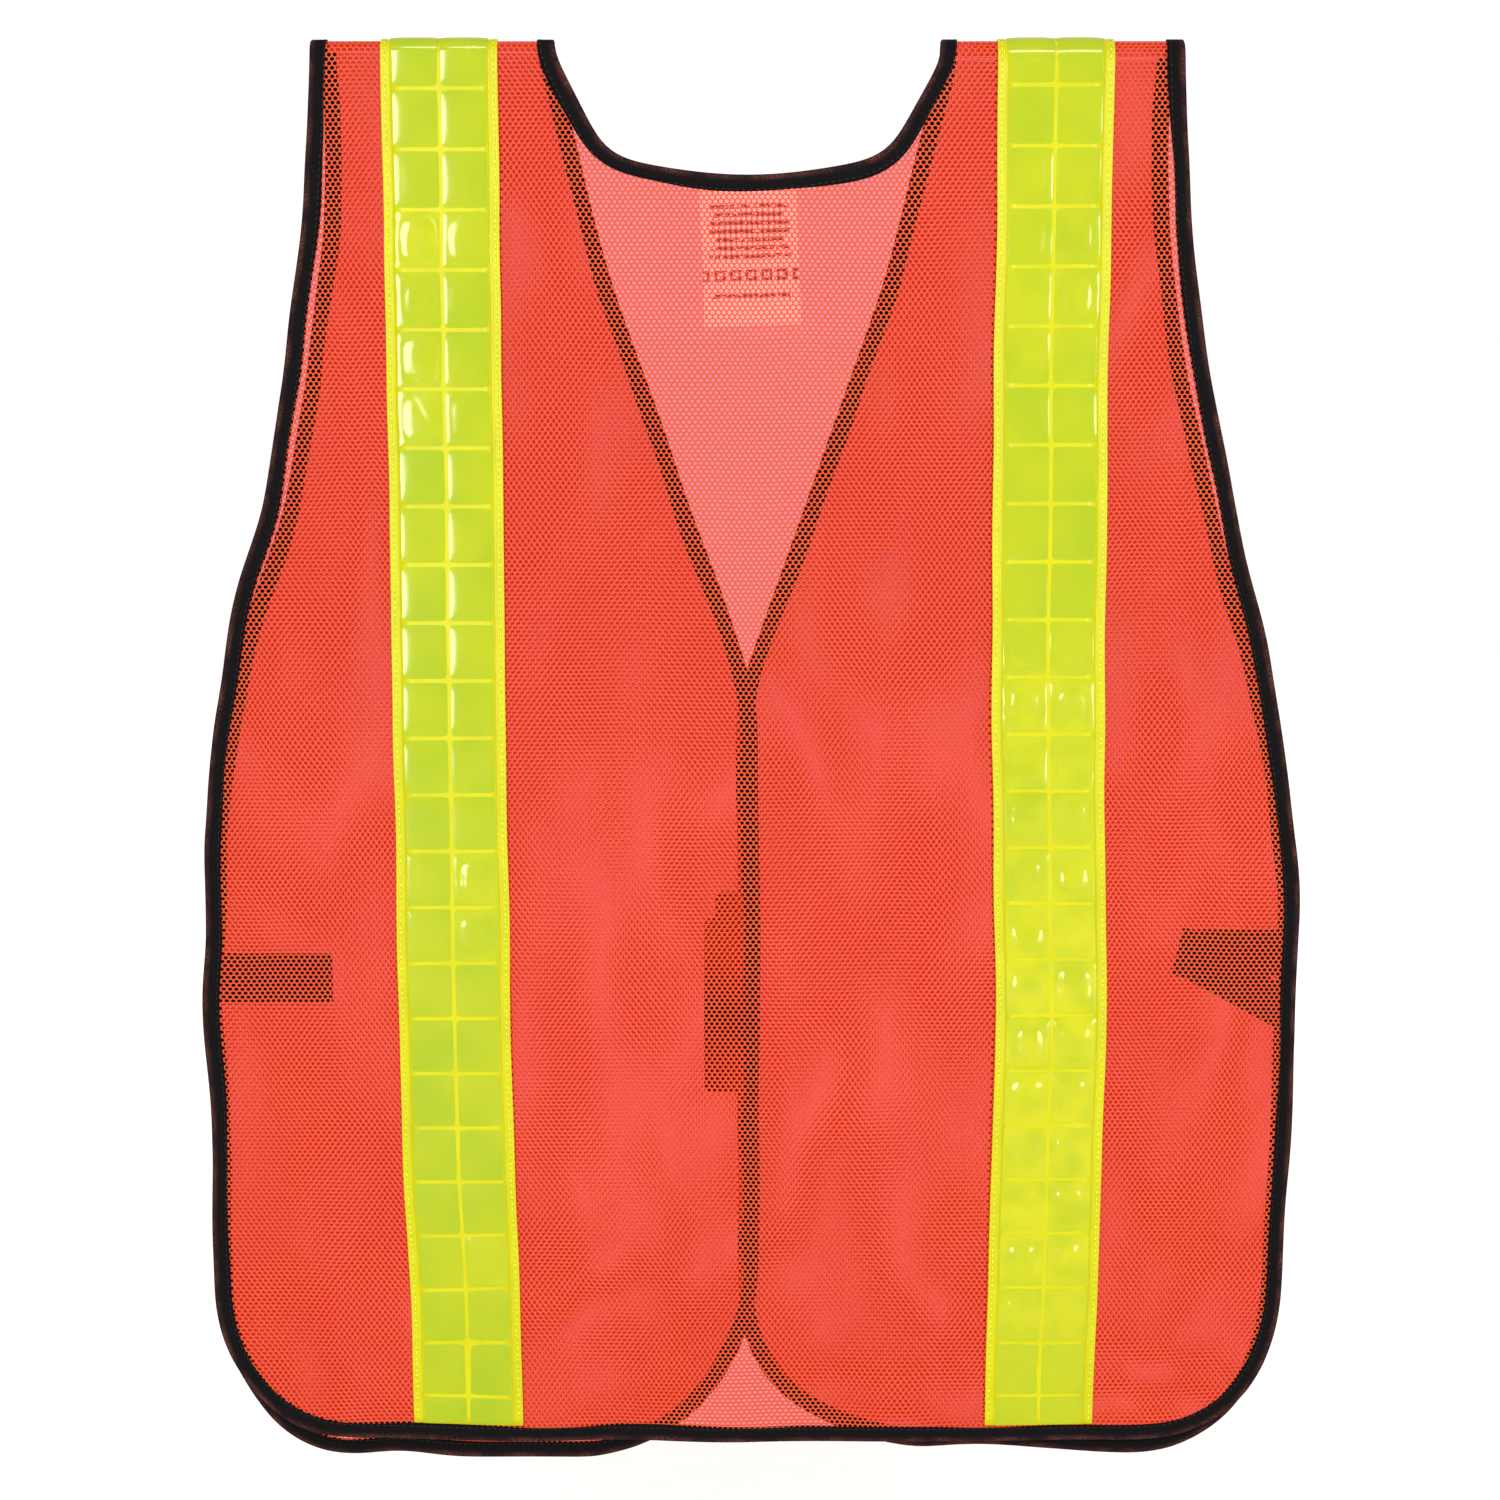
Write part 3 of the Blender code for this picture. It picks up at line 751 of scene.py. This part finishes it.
def place_cloth(name, side):
    """A panel's cloth: its outline filled and cut into small faces, then hung."""
    settings = bpy.context.scene.vest_cloth
    ring = RINGS[name]
    bm = bmesh.new()
    bm.faces.new([bm.verts.new((p.x, p.y, 0)) for p in ring])
    low = Vector((min(p.x for p in ring), min(p.y for p in ring)))
    high = Vector((max(p.x for p in ring), max(p.y for p in ring)))
    for axis in (0, 1):
        normal = Vector((axis == 0, axis == 1, 0))
        for k in range(1, int((high[axis] - low[axis]) / settings.cell)):
            geometry = [*bm.verts, *bm.edges, *bm.faces]
            at = normal * (low[axis] + k * settings.cell)
            bmesh.ops.bisect_plane(bm, geom=geometry, dist=1e-6, plane_co=at, plane_no=normal)
    for corner in (LEFT, RIGHT) if side is None else (side,):
        for k in range(1, 12):
            at = Vector((0, k / 12 * math.pi * RADIUS[corner] - RADIUS[corner], 0))
            geometry = [*bm.verts, *bm.edges, *bm.faces]
            bmesh.ops.bisect_plane(bm, geom=geometry, dist=1e-6, plane_co=at, plane_no=(0, 1, 0))
    bmesh.ops.triangulate(bm, faces=[f for f in bm.faces if len(f.verts) > 4])
    layer = bm.loops.layers.uv.new("pattern")
    for face in bm.faces:
        for loop in face.loops:
            loop[layer].uv = loop.vert.co.xy
        if face.normal.z < 0:
            face.normal_flip()
    return hang_up(bm, side), high - low


class VEST_OT_cloth(VestOperator, bpy.types.Operator):
    """Adds the mesh cloth of the back and the two fronts"""

    bl_idname = "vest.cloth"
    bl_label = "Mesh cloth"

    def execute(self, context):
        made = material("fluorescent_polyester_mesh", mesh_cloth, context.scene.vest_cloth)
        for name, panel, side in PANELS:
            bm, size = place_cloth(name, side)
            piece = add_object(f"{name}_cloth", bm, made)
            wall = piece.modifiers.new("thickness", "SOLIDIFY")
            wall.thickness = 0.6 * MM
            wall.offset = 0
            ride_with(piece, side)
            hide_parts(panel)
            area = ring_area(RINGS[name])
            tuple(size)
        return {"FINISHED"}


def binding_section(thickness):
    """The folded binding's section as (in from the fold, off the cloth), all the way round."""
    half, wall = thickness / 2, 0.5 * MM
    nose = [math.pi / 2 * (1 + i / 4) for i in range(9)]
    outer = [(BINDING_WIDTH, half), (BINDING_WIDTH * 0.6, half), (BINDING_WIDTH * 0.3, half)]
    outer += [(half + half * math.cos(a), half * math.sin(a)) for a in nose]
    outer += [(BINDING_WIDTH * 0.3, -half), (BINDING_WIDTH * 0.6, -half), (BINDING_WIDTH, -half)]
    slot = half - wall
    return outer + [(BINDING_WIDTH, -slot), (wall, -slot), (wall, slot), (BINDING_WIDTH, slot)]


def binding_mesh(path, side, thickness, seed):
    """A binding swept along the edge of the cloth."""
    section = binding_section(thickness)
    section.append(section[0])
    steps = inward_steps(path)
    length = sum((b - a).length for a, b in zip(path, path[1:]))

    def place(u, t):
        d, n = section[round(u * (len(section) - 1))]
        i = round(t * (len(path) - 1))
        spread = 0.92 + 0.2 * noise.noise(Vector((t * length / 0.05, seed, 0)))
        at = path[i] + steps[i] * (d * spread - CLOTH_INSET)
        return Vector((at.x, at.y, n))

    def paint(u, t):
        return t * length, section[round(u * (len(section) - 1))][0]

    bm = surface(len(section) - 1, len(path) - 1, place, paint, closed=True)
    rim = [e for e in bm.edges if e.is_boundary]
    bmesh.ops.holes_fill(bm, edges=rim)
    return face_outwards(hang_up(bm, side))


class VEST_OT_bindings(VestOperator, bpy.types.Operator):
    """Adds the folded bindings round the neckline, the armholes, the fronts and the hems"""

    bl_idname = "vest.bindings"
    bl_label = "Edge bindings"

    def execute(self, context):
        settings = context.scene.vest_binding
        made = material("black_knitted_binding", binding_knit, settings)
        neck, edge = sorted(EDGES["back"], key=len)
        jobs = (
            ("back_neck_binding", neck, None),
            ("back_edge_binding", edge, None),
            ("left_front_binding", EDGES["left_front"][0], LEFT),
            ("right_front_binding", EDGES["right_front"][0], RIGHT),
        )
        for seed, (name, path, side) in enumerate(jobs):
            bm = binding_mesh(path, side, settings.thickness, seed)
            piece = add_object(f"{name}_knit", bm, made)
            ride_with(piece, side)
            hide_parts(name)
        return {"FINISHED"}


def tape_section(width):
    """The tape's section: a flat strip with rolled edges and two sewn grooves down each border."""
    half, top = width / 2, 1.3 * MM
    low = 0.7 * MM
    side = [(half, low), (half, top - 0.15 * MM), (half - 0.2 * MM, top)]
    for groove in (1.8 * MM, 3.5 * MM):
        for d, dip in ((-0.45, 0), (-0.25, 0.16), (0, 0.24), (0.25, 0.16), (0.45, 0)):
            side.append((half - groove - d * MM, top - dip * MM))
    side.sort(key=lambda p: -p[0])
    return side[1:] + [(-x, n) for x, n in reversed(side[1:])] + [(-half, low), (half, low)]


def tape_run(half_name, side):
    """Where a tape starts and ends along s, from its CAD node."""
    low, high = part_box(f"{half_name}_{SIDE_NAMES[side]}_tape")
    if half_name == "back":
        return low.z, shoulder_end(side)
    return shoulder_end(side) + PARTING, shoulder_end(side) - RADIUS[side] - low.z


def strip_mesh(section, centre, start, end):
    """A long strip in the pattern. Its section is a closed ring of (across, off the cloth)."""
    section = [*section, section[0]]
    rows = int((end - start) / (4 * MM))

    def place(u, t):
        x, n = section[round(u * (len(section) - 1))]
        return Vector((centre + x, start + (end - start) * t, n))

    def paint(u, t):
        return section[round(u * (len(section) - 1))][0], start + (end - start) * t

    bm = surface(len(section) - 1, rows, place, paint, closed=True)
    bmesh.ops.holes_fill(bm, edges=[e for e in bm.edges if e.is_boundary])
    return bm


class VEST_OT_tapes(VestOperator, bpy.types.Operator):
    """Adds the two vinyl tapes, each in a back and a front length"""

    bl_idname = "vest.tapes"
    bl_label = "Vinyl tapes"

    def execute(self, context):
        settings = context.scene.vest_tape
        made = material("lime_calendered_vinyl", vinyl, settings)
        for half_name in ("back", "front"):
            for side, name in SIDE_NAMES.items():
                start, end = tape_run(half_name, side)
                centre = middle(f"back_{name}_tape", 0)
                bm = strip_mesh(tape_section(settings.width), centre, start, end)
                piece = add_object(
                    f"{half_name}_{name}_vinyl", face_outwards(hang_up(bm, side)), made
                )
                ride_with(piece, side if half_name == "front" else None)
                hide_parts(f"{half_name}_{name}_tape")
        return {"FINISHED"}


def row_lines(side, start, end, settings):
    """Where a film's rows of cells part, along s, with no row shorter than 8 mm."""
    crest = (math.pi / 2 - 1) * RADIUS[side]
    lines = [crest - settings.phase + k * settings.cell_pitch for k in range(-30, 31)]
    margin = 8 * MM
    return [start, *[s for s in lines if start + margin < s < end - margin], end]


# Where the film is most wrinkled: the place, its reach, and how much it wrinkles there.
CREASED = (
    ((0.138, -0.30), 0.045, 0.8),
    ((0.140, -0.40), 0.050, 1.0),
    ((0.138, -0.47), 0.050, 1.0),
    ((0.136, -0.55), 0.060, 1.0),
    ((0.150, -0.10), 0.080, 0.5),
    ((-0.145, -0.09), 0.020, 0.8),
    ((-0.145, -0.15), 0.020, 0.6),
    ((-0.118, -0.385), 0.022, 0.8),
    ((-0.120, -0.55), 0.030, 0.4),
)


def creasing(x, z):
    """How much the film wrinkles at a place, from 0 to 1."""
    spots = (a * math.exp(-((x - cx) ** 2 + (z - cz) ** 2) / r**2) for (cx, cz), r, a in CREASED)
    return min(1.0, sum(spots))


def cell_heights(size, amount, settings, draw):
    """The height of a cell's film over its weld, as a function of the place across and along it,
    each from -0.5 to 0.5. The more it is creased, the higher it stands, and the more it dents,
    folds and sinks in a channel that runs round inside its weld."""
    seed = draw.uniform(0, 1000)
    creases = []
    for _ in range(2):
        angle = draw.uniform(0, math.pi)
        width, depth = draw.uniform(1.4, 2.4) * MM, draw.uniform(0.2, 0.9)
        offset = draw.uniform(-0.3, 0.3) * size.x
        creases.append((math.cos(angle), math.sin(angle), offset, width, depth))
    puff = settings.puff * draw.uniform(0.8, 1.1) * (0.35 + 0.65 * amount)
    ring = draw.uniform(0.62, 0.8)

    def height(u, t):
        x, y = u * size.x, t * size.y
        rise = max((1 - abs(2 * u) ** 3) * (1 - abs(2 * t) ** 3.6), 0) ** 0.8
        dents = 1.3 * MM * noise.noise(Vector((x / (16 * MM), y / (24 * MM), seed)))
        folds = sum(d * math.exp(-(((x * c + y * s - o) / w) ** 2)) for c, s, o, w, d in creases)
        out = (abs(2 * u) ** 3.5 + abs(2 * t) ** 3.5) ** (1 / 3.5)
        uneven = 0.8 + 0.9 * noise.noise(Vector((x / (24 * MM), y / (24 * MM), seed + 50)))
        channel = uneven * math.exp(-(((out - ring) / 0.15) ** 2))
        full = puff + amount * (dents - 0.3 * MM * folds - 0.8 * MM * channel)
        return rise * max(full, 0.08 * MM) - 0.02 * MM

    return height


def film_cell(bm, layer, x_range, s_range, side, settings, draw):
    """One puffed cell: a grid that rises from its weld and is creased by its share."""
    (x0, x1), (s0, s1) = x_range, s_range
    made = bmesh.ops.create_grid(bm, x_segments=22, y_segments=28, size=0.5)
    middle_place = on_body((x0 + x1) / 2, (s0 + s1) / 2, 0, side)
    seen = middle_place.y < BACK_Y + RADIUS[side]
    amount = creasing(middle_place.x, middle_place.z) if seen else 0.35
    height = cell_heights(Vector((x1 - x0, s1 - s0)), amount, settings, draw)
    crease = bm.verts.layers.float["crease"]
    for vert in made["verts"]:
        vert[crease] = amount
        u, t = vert.co.x, vert.co.y
        place = (x0 + (u + 0.5) * (x1 - x0), s0 + (t + 0.5) * (s1 - s0))
        vert.co = Vector((*place, FILM_TOP + height(u, t)))
    faces = {f for v in made["verts"] for f in v.link_faces}
    for face in faces:
        face.material_index = 1
        for loop in face.loops:
            loop[layer].uv = loop.vert.co.xy


def film_mesh(half_name, side, settings, draw):
    """The welded film: a thin sheet whose ribs show, with the puffed cells on it."""
    start, end = tape_run(half_name, side)
    centre = middle(f"back_{SIDE_NAMES[side]}_tape", 0)
    width = 2 * settings.column
    top = [(width * (k / 8 - 0.5), FILM_TOP) for k in range(9)]
    bm = strip_mesh([(-width / 2, TAPE_TOP), *top, (width / 2, TAPE_TOP)], centre, start, end)
    face_outwards(bm)
    bm.verts.layers.float.new("crease")
    layer = bm.loops.layers.uv["pattern"]
    rib = settings.rib / 2
    lines = row_lines(side, start, end, settings)
    for low, high in zip(lines, lines[1:]):
        for x0 in (centre - settings.column, centre):
            x_range = (x0 + rib, x0 + settings.column - rib)
            film_cell(bm, layer, x_range, (low + rib, high - rib), side, settings, draw)
    return hang_up(bm, side)


class VEST_OT_films(VestOperator, bpy.types.Operator):
    """Adds the prismatic films, in two columns of welded cells on each tape"""

    bl_idname = "vest.films"
    bl_label = "Prismatic films"

    def execute(self, context):
        settings = context.scene.vest_tape
        ribs = material("lime_calendered_vinyl", vinyl, settings)
        cells = material("lime_prismatic_vinyl", prisms_in_vinyl, settings)
        draw = random.Random(11)
        for half_name in ("back", "front"):
            for side, name in SIDE_NAMES.items():
                bm = film_mesh(half_name, side, settings, draw)
                piece = add_object(f"{half_name}_{name}_prisms", bm, ribs, cells)
                ride_with(piece, side if half_name == "front" else None)
                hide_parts(f"{half_name}_{name}_film")
        return {"FINISHED"}


def as_stamp(bm):
    """A small shape to copy many times: its places, and its faces as their numbers."""
    bm.verts.index_update()
    shape = [v.co.copy() for v in bm.verts], [[v.index for v in f.verts] for f in bm.faces]
    bm.free()
    return shape


def pill():
    """A stitch or a loop of pile, one unit long."""
    bm = bmesh.new()
    bmesh.ops.create_uvsphere(bm, u_segments=6, v_segments=4, radius=0.5)
    return as_stamp(bm)


def hook():
    """A closure's hook, one unit tall: a stalk with its head bent over to one side."""
    bm = bmesh.new()
    at = Matrix.Translation((0, 0, 0.35))
    stalk = {"radius1": 0.4, "radius2": 0.3, "depth": 0.9, "segments": 5}
    bmesh.ops.create_cone(bm, cap_ends=True, matrix=at, **stalk)
    head = Matrix.Translation((0, 0.3, 0.78)) @ Matrix.Diagonal((0.7, 1.3, 0.4, 1))
    bmesh.ops.create_uvsphere(bm, u_segments=6, v_segments=4, radius=0.5, matrix=head)
    return as_stamp(bm)


def stamp(bm, shape, matrix):
    """Adds a copy of the shape, carried by the matrix."""
    places, faces = shape
    verts = [bm.verts.new(matrix @ p) for p in places]
    for face in faces:
        bm.faces.new([verts[i] for i in face])


def stitch_line(bm, path, pitch, length, thickness, n):
    """Stitches along a flat path, each a short pill of thread."""
    stations = evenly(path, pitch)
    shape = pill()
    size = Matrix.Diagonal((length, thickness, thickness * 0.7, 1))
    for a, b in zip(stations, stations[1:]):
        at = (a + b) / 2
        turn = Matrix.Rotation(math.atan2(b.y - a.y, b.x - a.x), 4, "Z")
        stamp(bm, shape, Matrix.Translation((at.x, at.y, n)) @ turn @ size)


def straight(x, start, end):
    return [Vector((x, start)), Vector((x, end))]


class VEST_OT_stitches(VestOperator, bpy.types.Operator):
    """Adds the stitches of the tapes and the bindings"""

    bl_idname = "vest.stitches"
    bl_label = "Stitches"

    def execute(self, context):
        lime = material("lime_sewing_thread", thread, "#EEEE62", "#BCC62E")
        black = material("black_sewing_thread", thread, "#0E0B0C", "#030303")
        tape, binding = context.scene.vest_tape, context.scene.vest_binding
        for half_name in ("back", "front"):
            for side, name in SIDE_NAMES.items():
                start, end = tape_run(half_name, side)
                centre = middle(f"back_{name}_tape", 0)
                bm = bmesh.new()
                for x in (-tape.width / 2 + 1.8 * MM, tape.width / 2 - 1.8 * MM):
                    path = straight(centre + x, start + 2 * MM, end - 0.5 * MM)
                    stitch_line(bm, path, 2.8 * MM, 2.1 * MM, 0.6 * MM, 1.28 * MM)
                piece = add_object(f"{half_name}_{name}_tape_stitches", hang_up(bm, side), lime)
                ride_with(piece, side if half_name == "front" else None)
        for name, _, side in PANELS:
            bm = bmesh.new()
            for path in EDGES[name]:
                steps = inward_steps(path)
                inset = BINDING_WIDTH - CLOTH_INSET - 1.6 * MM
                row = [p + q * inset for p, q in zip(path, steps)]
                for n in (-binding.thickness / 2, binding.thickness / 2):
                    stitch_line(bm, row, binding.stitch_pitch, 2.3 * MM, 0.4 * MM, n)
            piece = add_object(f"{name}_binding_stitches", hang_up(bm, side), black)
            ride_with(piece, side)
        return {"FINISHED"}


def strap_mesh(name, side):
    """The elastic strap, folded in between the layers. Its front leg slants if the CAD's does."""
    low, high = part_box(f"{name}_side_strap")
    thickness = 1.1 * MM
    width = 21.7 * MM
    slant = (high.z - low.z) - width
    outer = max(abs(low.x), abs(high.x))
    inner = min(abs(low.x), abs(high.x))
    radius = (high.y - low.y) / 2 - thickness / 2
    middle_y = (high.y + low.y) / 2
    leg = outer - inner - radius
    bend = math.pi * radius
    length = 2 * leg + bend

    def line(distance):
        if distance < leg:
            return outer - distance, middle_y - radius
        if distance < leg + bend:
            angle = (distance - leg) / radius - math.pi / 2
            return outer - leg - radius * math.cos(angle), middle_y + radius * math.sin(angle)
        return outer - leg + (distance - leg - bend), middle_y + radius

    def place(u, t):
        across, y = line(u * length)
        drop = 1.45 * slant * (across - inner) / (outer - inner) if y > middle_y else 0
        across += 0.28 * slant * t * (outer - across) / (outer - inner)
        return Vector((side * across, y, high.z - width * (1 - t) - drop))

    bm = surface(48, 10, place, lambda u, t: (u * length, t * width))
    bmesh.ops.recalc_face_normals(bm, faces=bm.faces)
    bmesh.ops.solidify(bm, geom=bm.faces[:], thickness=thickness / 2)
    return face_outwards(settle(bm)), (length, width)


class VEST_OT_straps(VestOperator, bpy.types.Operator):
    """Adds the elastic side straps, folded in between the back and the fronts"""

    bl_idname = "vest.straps"
    bl_label = "Side straps"

    def execute(self, context):
        made = material("black_woven_elastic", woven_elastic)
        for side, name in SIDE_NAMES.items():
            bm, size = strap_mesh(name, side)
            piece = add_object(f"{name}_elastic", bm, made)
            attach(piece, f"{name}_strap")
            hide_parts(f"{name}_side_strap")
        return {"FINISHED"}


def patch_levels(node_name, out):
    """Along y, where a closure strip is sewn on and where its slab ends under the hooks or loops,
    which look along y by the sign of out."""
    low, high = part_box(node_name)
    sewn_y = low.y if out > 0 else high.y
    return sewn_y, sewn_y + out * 0.6 * (high.y - low.y)


def patch_mesh(node_name, out, shape, size, pitch, draw):
    """A closure strip from its CAD node: a slab with rounded corners against its cloth, and rows
    of hooks or loops on its free face."""
    low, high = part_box(node_name)
    sewn_y, free_y = patch_levels(node_name, out)
    slab = abs(free_y - sewn_y)
    middle_place = Vector(((low.x + high.x) / 2, sewn_y + out * slab / 2, (low.z + high.z) / 2))
    scale = Vector((high.x - low.x, slab, high.z - low.z))
    bm = bmesh.new()
    bmesh.ops.create_cube(bm, size=1, matrix=Matrix.LocRotScale(middle_place, None, scale))
    edges = {"affect": "EDGES", "profile": 0.5, "material": -1}
    upright = [e for e in bm.edges if abs((e.verts[0].co - e.verts[1].co).y) > 0.5 * slab]
    bmesh.ops.bevel(bm, geom=upright, offset=3 * MM, segments=4, **edges)
    rim = [e for e in bm.edges if e.calc_face_angle(0) > 1]
    bmesh.ops.bevel(bm, geom=rim, offset=0.15 * MM, segments=2, **edges)
    margin = 3.2 * MM
    across = int((high.x - low.x - 2 * margin) / pitch)
    down = int((high.z - low.z - 2 * margin) / pitch)
    stand = Matrix.Rotation(-out * math.pi / 2, 4, "X")
    for k in range(down + 1):
        for i in range(across + 1 - k % 2):
            x, z = low.x + margin + (i + 0.5 * (k % 2)) * pitch, low.z + margin + k * pitch
            turn = Matrix.Rotation(draw.choice((0, math.pi)) + draw.uniform(-0.5, 0.5), 4, "Z")
            at = Matrix.Translation((x, free_y, z))
            stamp(bm, shape, at @ stand @ turn @ Matrix.Diagonal((*size, 1)))
    return face_outwards(settle(bm))


def patch_stitches(node_name, levels):
    """A closure strip's rectangle of stitches, at each of these heights along y."""
    low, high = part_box(node_name)
    inset = 1.8 * MM
    x0, x1, z0, z1 = low.x + inset, high.x - inset, low.z + inset, high.z - inset
    ring = [Vector(p) for p in ((x0, z0), (x1, z0), (x1, z1), (x0, z1), (x0, z0))]
    bm = bmesh.new()
    for y in levels:
        stitch_line(bm, ring, 2.6 * MM, 2.1 * MM, 0.35 * MM, y)
    return face_outwards(settle(bm, upright=False))


class VEST_OT_closure(VestOperator, bpy.types.Operator):
    """Adds the hook strip and the loop strip of the closure, and their stitches"""

    bl_idname = "vest.closure"
    bl_label = "Hook and loop closure"

    def execute(self, context):
        hook_pile = material("black_nylon_hook", pile, "#3A3638", 0.5 * MM)
        loop_pile = material("black_nylon_loop", pile, "#4A4446", 0.8 * MM)
        black = material("black_sewing_thread", thread, "#0E0B0C", "#030303")
        draw = random.Random(5)
        jobs = (
            ("hook", "right", -1, hook(), (0.36 * MM, 0.36 * MM, 0.36 * MM), 1.5 * MM, hook_pile),
            ("loop", "left", 1, pill(), (1.3 * MM, 0.5 * MM, 0.7 * MM), 1.3 * MM, loop_pile),
        )
        for kind, side_name, out, shape, size, pitch, made in jobs:
            bm = patch_mesh(f"{kind}_strip", out, shape, size, pitch, draw)
            piece = add_object(f"{kind}_patch", bm, made)
            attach(piece, f"{side_name}_front")
            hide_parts(f"{kind}_strip")
            free_y = patch_levels(f"{kind}_strip", out)[1]
            cloth_y = middle(f"{side_name}_front_panel", 1) - out * 0.35 * MM
            bm = patch_stitches(f"{kind}_strip", (free_y, cloth_y))
            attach(add_object(f"{kind}_patch_stitches", bm, black), f"{side_name}_front")
        return {"FINISHED"}


class VEST_OT_label(VestOperator, bpy.types.Operator):
    """Adds the care label inside the back neckline"""

    bl_idname = "vest.label"
    bl_label = "Care label"

    def execute(self, context):
        settings = context.scene.vest_label
        low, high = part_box("care_label")
        size = high - low
        tilt = math.radians(-2.0)
        seam_z = high.z - 2 * MM
        ends = (low.x + 1.5 * MM, high.x - 1.5 * MM)
        across_path = [Vector((x, seam_z + x * math.sin(-tilt))) for x in ends]

        def place(u, t):
            x = (0.5 - u) * size.x
            down = t * size.z
            lift = settings.lift * smooth(t) * (0.6 + 0.4 * math.sin(2.2 * u + 0.6))
            turned_x = x * math.cos(tilt) - down * math.sin(tilt)
            turned_z = -x * math.sin(tilt) - down * math.cos(tilt)
            return Vector((turned_x, low.y + size.y / 2 + lift, high.z + turned_z + 0.4 * MM))

        bm = surface(12, 18, place, lambda u, t: (u * size.x, t * size.z))
        bmesh.ops.recalc_face_normals(bm, faces=bm.faces)
        bmesh.ops.solidify(bm, geom=bm.faces[:], thickness=0.3 * MM)
        made = material("white_printed_satin", printed_satin, settings)
        piece = add_object("care_label_satin", face_outwards(settle(bm)), made)
        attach(piece, "label")
        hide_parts("care_label")
        bm = bmesh.new()
        stitch_line(bm, across_path, 2.4 * MM, 1.9 * MM, 0.3 * MM, high.y + 0.1 * MM)
        white = material("white_sewing_thread", thread, "#F4F0EA", "#C9C4BE")
        seam = add_object("label_stitches", face_outwards(settle(bm, upright=False)), white)
        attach(seam, "label")
        return {"FINISHED"}


# The soft lights: name, place, width, height, power, and whether it shines. One that shines shows
# only as glints, and the others only as even light.
LIGHTS = (
    ("left_strip", (-1.0, -1.75, 0.3), 0.14, 1.3, 14, False),
    ("right_strip", (1.0, -1.75, 0.1), 0.14, 1.3, 14, False),
    ("left_gloss", (-0.72, -1.75, -0.1), 0.42, 1.3, 42, True),
    ("right_gloss", (1.15, -1.6, -0.1), 0.45, 1.3, 36, True),
    ("top_gloss", (0.2, -1.6, 1.35), 1.3, 0.4, 32, True),
    ("rear", (0.6, 1.8, 1.0), 1.2, 1.2, 10, False),
)


def area_light(name, place, width, height, power, shines, aim):
    data = bpy.data.lights.new(name, "AREA")
    data.shape = "RECTANGLE"
    data.size, data.size_y, data.energy = width, height, power
    lamp = bpy.data.objects.new(name, data)
    lamp.location = place
    lamp.rotation_euler = (Vector(aim) - Vector(place)).to_track_quat("-Z", "Y").to_euler()
    lamp.visible_diffuse, lamp.visible_glossy = not shines, shines
    bpy.context.scene.collection.objects.link(lamp)


class VEST_OT_stage(VestOperator, bpy.types.Operator):
    """Adds the floor, the lights and the camera"""

    bl_idname = "vest.stage"
    bl_label = "Stage"

    def execute(self, context):
        settings = context.scene.vest_stage
        scene = context.scene
        low, high = (Vector(corner) for corner in CAD_BOX)
        aim = Vector((0.001, 0, (low.z + high.z) / 2 + 0.0115))
        bm = bmesh.new()
        bmesh.ops.create_grid(bm, x_segments=1, y_segments=1, size=8)
        bmesh.ops.translate(bm, verts=bm.verts, vec=(0, 0, low.z - 0.09))
        board = material("pale_painted_board", painted_board)
        add_object("floor", bm, board)
        world = bpy.data.worlds.new("surround")
        world.use_nodes = True
        surround = world.node_tree.nodes["Background"]
        surround.inputs["Color"].default_value = (1, 1, 1, 1)
        surround.inputs["Strength"].default_value = settings.world
        scene.world = world
        for light in LIGHTS:
            area_light(*light, aim)
        data = bpy.data.cameras.new("camera")
        data.lens = settings.lens
        data.sensor_width = 36
        camera = bpy.data.objects.new("camera", data)
        step = Vector((0, -math.cos(settings.elevation), math.sin(settings.elevation)))
        camera.location = aim + step * settings.distance
        camera.rotation_euler = (-step).to_track_quat("-Z", "Y").to_euler()
        scene.collection.objects.link(camera)
        scene.camera = camera
        scene.view_settings.view_transform = "Standard"
        return {"FINISHED"}


class VEST_PT_panel(bpy.types.Panel):
    """Lists the vest's pieces"""

    bl_label = "High visibility vest"
    bl_idname = "VEST_PT_panel"
    bl_space_type = "VIEW_3D"
    bl_region_type = "UI"
    bl_category = "Vest"

    def draw(self, context):
        for step in STEPS:
            self.layout.operator(step.bl_idname)


STEPS = (
    VEST_OT_stage,
    VEST_OT_cloth,
    VEST_OT_bindings,
    VEST_OT_tapes,
    VEST_OT_films,
    VEST_OT_stitches,
    VEST_OT_straps,
    VEST_OT_closure,
    VEST_OT_label,
)
SETTINGS = {
    "vest_cloth": VestClothSettings,
    "vest_binding": VestBindingSettings,
    "vest_tape": VestTapeSettings,
    "vest_label": VestLabelSettings,
    "vest_stage": VestStageSettings,
}


def register():
    for group in (*SETTINGS.values(), *STEPS, VEST_PT_panel):
        bpy.utils.register_class(group)
    for name, group in SETTINGS.items():
        setattr(bpy.types.Scene, name, PointerProperty(type=group))


def unregister():
    for name in SETTINGS:
        delattr(bpy.types.Scene, name)
    for group in (*SETTINGS.values(), *STEPS, VEST_PT_panel):
        bpy.utils.unregister_class(group)


def main():
    register()
    for step in STEPS:
        group, name = step.bl_idname.split(".")
        getattr(getattr(bpy.ops, group), name)()


if __name__ == "__main__":
    main()
